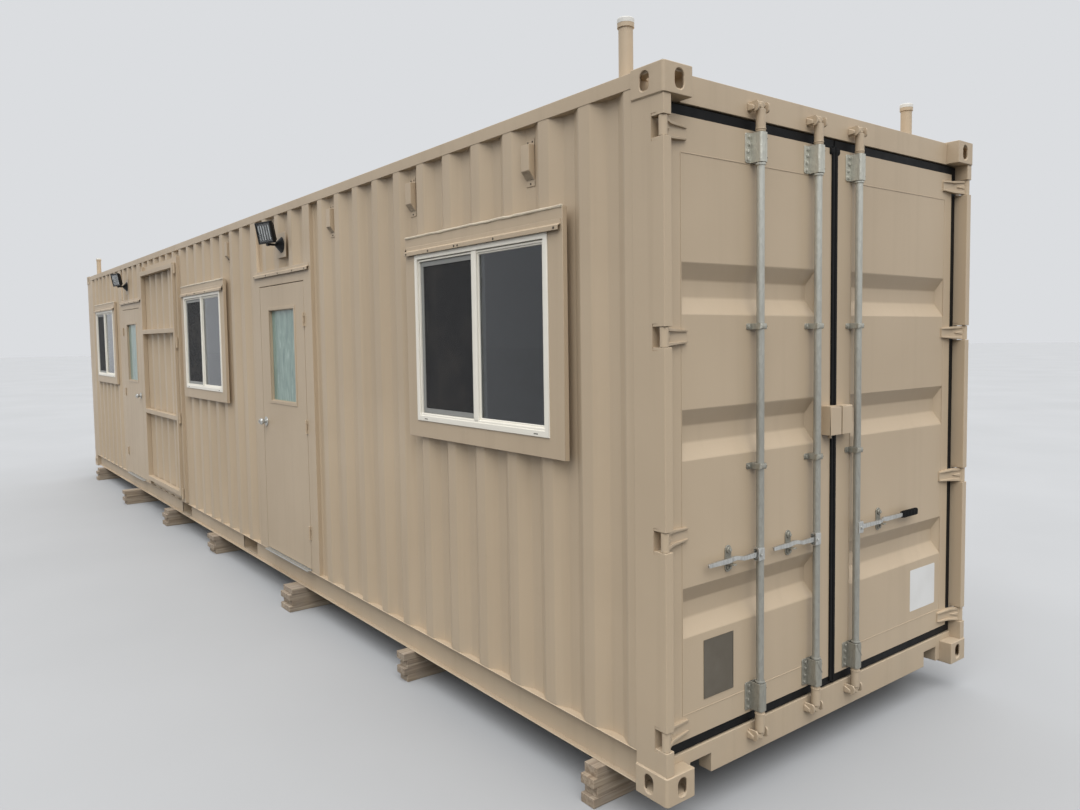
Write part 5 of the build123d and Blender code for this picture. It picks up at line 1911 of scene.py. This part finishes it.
@dataclass
class FrontDoor:
    """One front door: its leaf, the frame round its lite, the frosted pane and the knob."""

    number: int
    distance: float
    body: Body
    knob_body: Body
    lite_foot: float = 1.390
    lite_width: float = 0.542
    lite_height: float = 0.730
    rose_radius: float = 0.037
    neck_radius: float = 0.0135
    ball_radius: float = 0.0275
    ball_squeeze: float = 0.74
    face_radius: float = 0.0165

    def named(self, name: str) -> str:
        """The name of one of this door's pieces."""
        return f"front_door_{self.number}_{name}"

    def build(self) -> None:
        """Builds the door's pieces."""
        node = f"door_{self.number}_leaf"
        leaf = Workpiece.from_node(self.named("leaf"), node).round_edges(0.0015, 2, crisp(60.0, 0.05))
        frame_ring = self.lite_ring("lite_frame", 0.012, (-0.0045, 0.002), 0.0235, 0.002)
        lip = self.lite_ring("lite_lip", -0.0005, (0.004, 0.0222), 0.016, 0.0015)
        leaf.join([frame_ring, lip]).done(Coat.PAINT, node, body=self.body)
        node = f"door_{self.number}_glass"
        pane = Workpiece.from_node(self.named("pane"), node).round_edges(0.001, 1, crisp(50.0, 0.3))
        pane.done(Coat.FROSTED, node, body=self.body)
        self.knob()

    def lite_ring(self, name: str, outset: float, depths: Numbers, border: float, round_width: float) -> Workpiece:
        """A rolled ring round the lite.

        Args:
            name: The piece's name.
            outset: How far it reaches beyond the opening.
            depths: Its front and back, counted from the wall's face.
            border: Its width.
            round_width: The width of its rounded front edges.

        Returns:
            The workpiece.
        """
        middle, foot = AT.along(self.distance), AT.level(self.lite_foot)
        half = self.lite_width / 2 + outset
        levels = (foot - outset, foot + self.lite_height + outset)
        y = [depth - AT.wall for depth in depths]
        ring = Workpiece.ring(self.named(name), (middle - half, middle + half), y, levels, border)
        return ring.round_edges(round_width, 2, every(crisp(60.0), beside(facing(0, -1, 0))))

    def knob(self) -> None:
        """Builds the knob on its domed rose, with a flared neck and a key cylinder in its face."""
        node = f"door_{self.number}_handle"
        low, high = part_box(node)
        x, z = (low[0] + high[0]) / 2, (low[2] + high[2]) / 2
        front = facing(0, -1, 0)

        def turned(name: str, y: float, radius: float, length: float, sides: int) -> Workpiece:
            """A round piece on the knob's axis."""
            return Workpiece.drum(self.named(name), (x, y, z), radius, length, Axis.Y, sides)

        rose = turned("rose", high[1] - 0.004, self.rose_radius, 0.008, 40)
        rose.stepped(front, (0.004, (0, 0, 0)), (0.006, (0, -0.003, 0))).round_edges(0.0022, 3, crisp(40.0))
        neck = turned("neck", high[1] - 0.022, self.neck_radius, 0.028, 32).reshaped(front, (1.35, 1.0, 1.35))
        middle = (x, low[1] + 0.0215, z)
        ball = Workpiece.ball(self.named("ball"), middle, self.ball_radius, 36, (1.0, self.ball_squeeze, 1.0))
        face = turned("face", low[1] + 0.0035, self.face_radius, 0.006, 32)
        face.stepped(front, (0.0015, (0, 0.0012, 0)), (0.0065, (0, -0.001, 0)), (0.0012, (0, 0.0015, 0)))
        face.round_edges(0.0007, 2, crisp(50.0, 0.0015))
        joined(self.named("knob"), [rose, neck, ball, face]).done(Coat.BRIGHT, node, body=self.knob_body)


@dataclass
class DoorTrim:
    """The drip caps' screws and the ribbed thresholds of the front doors."""

    cap_screws: float = 2.383
    cap_front: float = -1.2287
    reach: float = 0.56
    shares: tuple[float, ...] = (0.03, 0.27, 0.5, 0.76, 0.97)
    ribs: int = 7
    rib_start: float = -1.225
    rib_pitch: float = 0.016
    rib_reach: float = 0.44
    rib_levels: tuple[float, float] = (0.1805, 0.1832)

    def build(self) -> None:
        """Builds the screws and the thresholds."""
        z = AT.level(self.cap_screws)
        lefts = [AT.along(distance) - self.reach for distance in FRONT_DOORS]
        places = [(left + share * 2 * self.reach, self.cap_front, z) for left in lefts for share in self.shares]
        screws("door_cap_screws", (0.0042, 0.003, 0.0012), places)
        plate = Workpiece.from_node("threshold_plates", "thresholds").round_edges(0.002, 2, crisp(50.0, 0.05))
        levels = [AT.level(height) for height in self.rib_levels]
        ribs = []
        for middle in (AT.along(distance) for distance in FRONT_DOORS):
            for y in (self.rib_start + step * self.rib_pitch for step in range(self.ribs)):
                ends = (middle - self.rib_reach, middle + self.rib_reach)
                rib = Workpiece.block("rib", ends, (y - 0.0022, y + 0.0022), levels)
                ribs.append(rib.round_edges(0.001, 1, crisp(50.0, 0.3)))
        plate.join(ribs).done(Coat.BRIGHT, "thresholds")


@dataclass
class Floodlight:
    """The glass, the reflector and the cooling fins of one floodlight's tilted head."""

    number: int
    distance: float
    level: float = 2.590
    bracket: float = -1.215
    reach: float = 0.100
    rise: float = 0.0865
    turn: float = 14.0
    tilt: float = 12.0
    half_width: float = 0.095
    half_depth: float = 0.018
    half_height: float = 0.080
    rim: float = 0.014
    fins: int = 9
    fin_pitch: float = 0.0185
    fin_height: float = 0.066
    fin_depth: float = 0.012
    fin_thickness: float = 0.003
    flutes: int = 5
    flute_pitch: float = 0.38
    flute_reach: float = 0.006
    glass_depth: float = 0.0035
    glass_thickness: float = 0.0024

    def set_on_head(self, piece: Workpiece, name: str, coat: Coat) -> None:
        """Moves a piece modelled at the origin onto the tilted head and finishes it.

        Args:
            piece: The piece.
            name: Its name on the lamp.
            coat: Its finish.
        """
        place = Matrix.Translation((AT.along(self.distance), self.bracket - self.reach, AT.level(self.level)))
        turn = Matrix.Rotation(math.radians(self.turn), 4, "Z") @ Matrix.Rotation(math.radians(self.tilt), 4, "X")
        matrix = place @ turn @ Matrix.Translation((0.0, 0.0, self.rise))
        piece.placed(f"floodlight_{self.number}_{name}", matrix).done(coat)
        bpy.data.objects.remove(piece.thing)

    def build(self) -> None:
        """Builds the pieces of the head."""
        wide, high = self.half_width - self.rim, self.half_height - self.rim
        x, z = (-wide, wide), (-high, high)
        front = self.glass_depth - self.half_depth
        back = front + self.glass_thickness
        glass = Workpiece.block("glass", x, (front, back), z).round_edges(0.004, 3, along(Axis.Y, 0.002))
        self.set_on_head(glass, "glass", Coat.LAMP_GLASS)
        plate = Workpiece.block("reflector", x, (back + 0.0002, back + 0.0005), z)
        plate.stepped(facing(0, -1, 0), (0.008, (0, 0, 0)), (0.004, (0, 0.0002, 0)))
        plate.join([self.flute(column, wide, high, back) for column in range(self.flutes)])
        self.set_on_head(plate, "reflector", Coat.REFLECTOR)
        fins = [self.fin(index - (self.fins - 1) / 2) for index in range(self.fins)]
        self.set_on_head(fins[0].join(fins[1:]), "fins", Coat.LAMP)

    def flute(self, column: int, wide: float, high: float, back: float) -> Workpiece:
        """One upright flute of the reflector.

        Args:
            column: Its number from the left.
            wide: Half the reflector's width.
            high: Half its height.
            back: Y of the glass's back.

        Returns:
            The workpiece.
        """
        middle = (column - (self.flutes - 1) / 2) * wide * self.flute_pitch
        x = (middle - self.flute_reach, middle + self.flute_reach)
        flute = Workpiece.block("flute", x, (back, back + 0.0005), (-high * 0.8, high * 0.8))
        return flute.round_edges(0.0003, 1, every(crisp(60.0, 0.02), lambda edge: edge.verts[0].co.y < back + 0.0002))

    def fin(self, step: float) -> Workpiece:
        """One cooling fin.

        Args:
            step: Its place, in steps from the middle.

        Returns:
            The workpiece.
        """
        middle, half = step * self.fin_pitch, self.fin_thickness / 2
        y = (self.half_depth - 0.001, self.half_depth + self.fin_depth)
        fin = Workpiece.block("fin", (middle - half, middle + half), y, (-self.fin_height, self.fin_height))
        return fin.round_edges(0.004, 2, every(along(Axis.X, 0.002), lambda edge: edge.calc_length() < 0.004))


@dataclass
class Vents:
    """The hooded wall vents with their screws, and the pipes on the roof with their white caps."""

    distances: tuple[float, ...] = (0.884, 1.996, 3.108, 5.332)
    foot: float = 2.560
    height: float = 0.215
    screw_inset: float = 0.013
    screw_shift: float = 0.017
    screw_y: float = -1.1782
    pipe_x: float = 5.771
    pipe_y: float = 1.100
    pipe_top: float = 3.125
    cap_radius: float = 0.0355
    cap_height: float = 0.0216
    cap_rise: float = 0.029

    def build(self) -> None:
        """Builds the hoods, their screws and the pipes."""
        hood = Workpiece.from_node("vent_hoods", "wall_vents").round_edges(0.0025, 2, crisp(30.0, 0.03))
        hood.done(Coat.PAINT, "wall_vents")
        top = self.height - self.screw_inset
        corners = ((-self.screw_shift, top), (self.screw_shift, top), (0.0, self.screw_inset))
        places = [
            (AT.along(distance) + shift, self.screw_y, AT.level(self.foot + height))
            for distance in self.distances
            for shift, height in corners
        ]
        screws("vent_screws", (0.0035, 0.0022, 0.0008), places)
        Workpiece.from_node("roof_pipes", "vent_pipes").done(Coat.PAINT, "vent_pipes")
        z = AT.level(self.pipe_top)
        caps = []
        for side in (-1, 1):
            for end in (-1, 1):
                middle = (end * self.pipe_x, side * self.pipe_y, z + self.cap_rise)
                cap = Workpiece.drum("cap", middle, self.cap_radius, self.cap_height, Axis.Z, 32)
                caps.append(cap.round_edges(0.006, 3, every(crisp(60.0), past(Axis.Z, z + 0.02))))
        joined("pipe_caps", caps).done(Coat.CAP)


@dataclass(frozen=True)
class Rounded:
    """A frame node that only needs its edges broken: its finish, its body and the width of the round."""

    node: str
    width: float
    least: float = 0.03
    angle: float = 50.0
    coat: Coat = Coat.PAINT
    body: Body = Body.CABIN

    def build(self) -> None:
        """Builds the rounded copy."""
        piece = Workpiece.from_node(f"{self.node}_dressed", self.node)
        piece.round_edges(self.width, 2, crisp(self.angle, self.least)).done(self.coat, self.node, body=self.body)


ROUNDED = (
    Rounded("cam_keepers", 0.003, 0.02, coat=Coat.CAST),
    Rounded("cross_members", 0.002),
    Rounded("fork_pockets", 0.002),
    Rounded("door_frames", 0.0015, 0.05),
    Rounded("gate_surround", 0.002, 0.05),
    Rounded("gate_frame", 0.003, 0.04, body=Body.GATE),
    Rounded("gate_sheet", 0.004, 0.3, 15.0, body=Body.GATE),
    Rounded("floodlights", 0.002, 0.02, coat=Coat.LAMP),
    Rounded("blocking_boards_lower", 0.003, coat=Coat.TIMBER),
    Rounded("blocking_boards_upper", 0.003, coat=Coat.TIMBER),
)
NODE_COATS = {
    "lock_rod": Coat.ZINC,
    "cargo_door_left_hardware": Coat.ZINC,
    "cargo_door_right_hardware": Coat.ZINC,
    "thresholds": Coat.BRIGHT,
    "door_1_handle": Coat.BRIGHT,
    "door_2_handle": Coat.BRIGHT,
    "blocking_boards": Coat.TIMBER,
    "floor_deck": Coat.PLYWOOD,
    "front_lining": Coat.BOARD,
    "rear_lining": Coat.BOARD,
    "ceiling_lining": Coat.BOARD,
    "window_frames": Coat.VINYL,
    "window_glass": Coat.CLEAR,
    "door_1_glass": Coat.FROSTED,
    "door_2_glass": Coat.FROSTED,
    "cargo_door_left_gasket": Coat.RUBBER,
    "cargo_door_right_gasket": Coat.RUBBER,
    "floodlights": Coat.LAMP,
}


def dress_frame_nodes() -> None:
    """Gives every frame node its material: paint, where its name starts like none of those in the list."""
    for node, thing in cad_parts.items():
        coat = next((coat for start, coat in NODE_COATS.items() if node.startswith(start)), Coat.PAINT)
        thing.data.materials.clear()
        thing.data.materials.append(coat.material)


@dataclass(frozen=True)
class Studio:
    """The camera at the photograph's angle, a pale floor and soft light."""

    focal_pixels: float = 828.32
    image_width: int = 1080
    sensor: float = 36.0
    shift_up: float = -0.0154
    eye: tuple[float, float, float] = (8.3087, -3.51808, 2.02041)
    yaw: float = 142.4971
    pitch: float = -3.4683
    roll: float = -0.8346
    floor_reach: float = 160.0
    horizon_light: float = 0.43
    zenith_light: float = 1.8
    sun_direction: tuple[float, float, float] = (-0.52, 0.4, -1.0)
    sun_spread: float = 60.0
    sun_strength: float = 1.98

    def build(self) -> None:
        """Sets up camera, floor and light."""
        self.camera()
        self.floor()
        self.world()
        self.sun()
        bpy.context.scene.view_settings.view_transform = "Standard"

    def camera(self) -> None:
        """Sets the camera up."""
        data = bpy.data.cameras.new("photo_camera")
        data.sensor_width = self.sensor
        data.lens = self.sensor * self.focal_pixels / self.image_width
        data.shift_y = self.shift_up
        data.clip_end = 2 * self.floor_reach
        yaw, pitch, roll = (math.radians(angle) for angle in (self.yaw, self.pitch, self.roll))
        ahead = Vector((math.cos(yaw) * math.cos(pitch), math.sin(yaw) * math.cos(pitch), math.sin(pitch)))
        right = Vector((math.sin(yaw), -math.cos(yaw), 0.0))
        up = right.cross(ahead)
        side = math.cos(roll) * right + math.sin(roll) * up
        top = math.cos(roll) * up - math.sin(roll) * right
        thing = bpy.data.objects.new("photo_camera", data)
        bpy.context.scene.collection.objects.link(thing)
        thing.matrix_world = Matrix.Translation(self.eye) @ Matrix((side, top, -ahead)).transposed().to_4x4()
        bpy.context.scene.camera = thing

    def floor(self) -> None:
        """Lays the floor, pale to the camera and in reflections, darker for the light that it throws back."""
        put_down()
        bpy.ops.mesh.primitive_circle_add(vertices=64, radius=self.floor_reach, fill_type="NGON")
        floor = bpy.context.object
        floor.name = "studio_floor"
        material, wires, shader = Finish("studio_floor", srgb(166, 165, 162), 0.9).start()
        cloud = wires.range(wires.noise(0.4, 3.0), 0.3, 0.7)
        pale = wires.mix(cloud, srgb(160, 161, 162), srgb(165, 166, 167))
        wires.feed(shader.inputs["Base Color"], wires.mix(wires.seen(), srgb(58, 56, 53), pale))
        floor.data.materials.append(material)

    def world(self) -> None:
        """Lights the scene from a sky that brightens upwards, with a pale backdrop behind it."""
        world = bpy.data.worlds.new("overcast")
        bpy.context.scene.world = world
        world.use_nodes = True
        wires = Wiring(world.node_tree)
        source = wires.node("ShaderNodeTexCoord").outputs["Generated"]
        rise = wires.fed("ShaderNodeSeparateXYZ", {0: source}).outputs["Z"]
        strength = wires.range(rise, 0.0, 1.0, self.horizon_light, self.zenith_light)
        sky = wires.fed("ShaderNodeBackground", {"Color": (0.97, 0.98, 1.0, 1.0), "Strength": strength})
        backdrop = wires.fed("ShaderNodeBackground", {"Color": srgb(219, 221, 224)})
        both = wires.fed("ShaderNodeMixShader", {0: wires.seen(), 1: sky.outputs[0], 2: backdrop.outputs[0]})
        wires.fed("ShaderNodeOutputWorld", {"Surface": both.outputs[0]})

    def sun(self) -> None:
        """Lights everything evenly from one soft direction."""
        data = bpy.data.lights.new("high_cloud", "SUN")
        data.angle = math.radians(self.sun_spread)
        data.energy = self.sun_strength
        thing = bpy.data.objects.new("high_cloud", data)
        bpy.context.scene.collection.objects.link(thing)
        thing.rotation_euler = Vector(self.sun_direction).to_track_quat("-Z", "Y").to_euler()


def main() -> None:
    """Builds the cabin's looks in order."""
    logging.basicConfig(level=logging.INFO, format="%(name)s %(message)s")
    dress_frame_nodes()
    Skins().build()
    SteelFrame().build()
    for number, distance in enumerate(WINDOWS, start=1):
        SlidingWindow(number, distance).build()
    Surrounds().build()
    CargoDoorLook(Body.LEFT_DOOR, "cargo_door_left", -1).build()
    CargoDoorLook(Body.RIGHT_DOOR, "cargo_door_right", 1).build()
    bolt = Fastener(0.0075, 0.0055, 0.0015)
    for rod in RODS:
        LockRod(*rod, bolt).build()
    bolt.put_away()
    Keepers().build()
    DoorPlates().build()
    FrontDoor(1, FRONT_DOORS[0], Body.FRONT_DOOR_1, Body.KNOB_1).build()
    FrontDoor(2, FRONT_DOORS[1], Body.FRONT_DOOR_2, Body.KNOB_2).build()
    DoorTrim().build()
    for number, distance in enumerate(FLOODLIGHTS, start=1):
        Floodlight(number, distance).build()
    Vents().build()
    for rounded in ROUNDED:
        rounded.build()
    Studio().build()


if __name__ == "__main__":
    main()
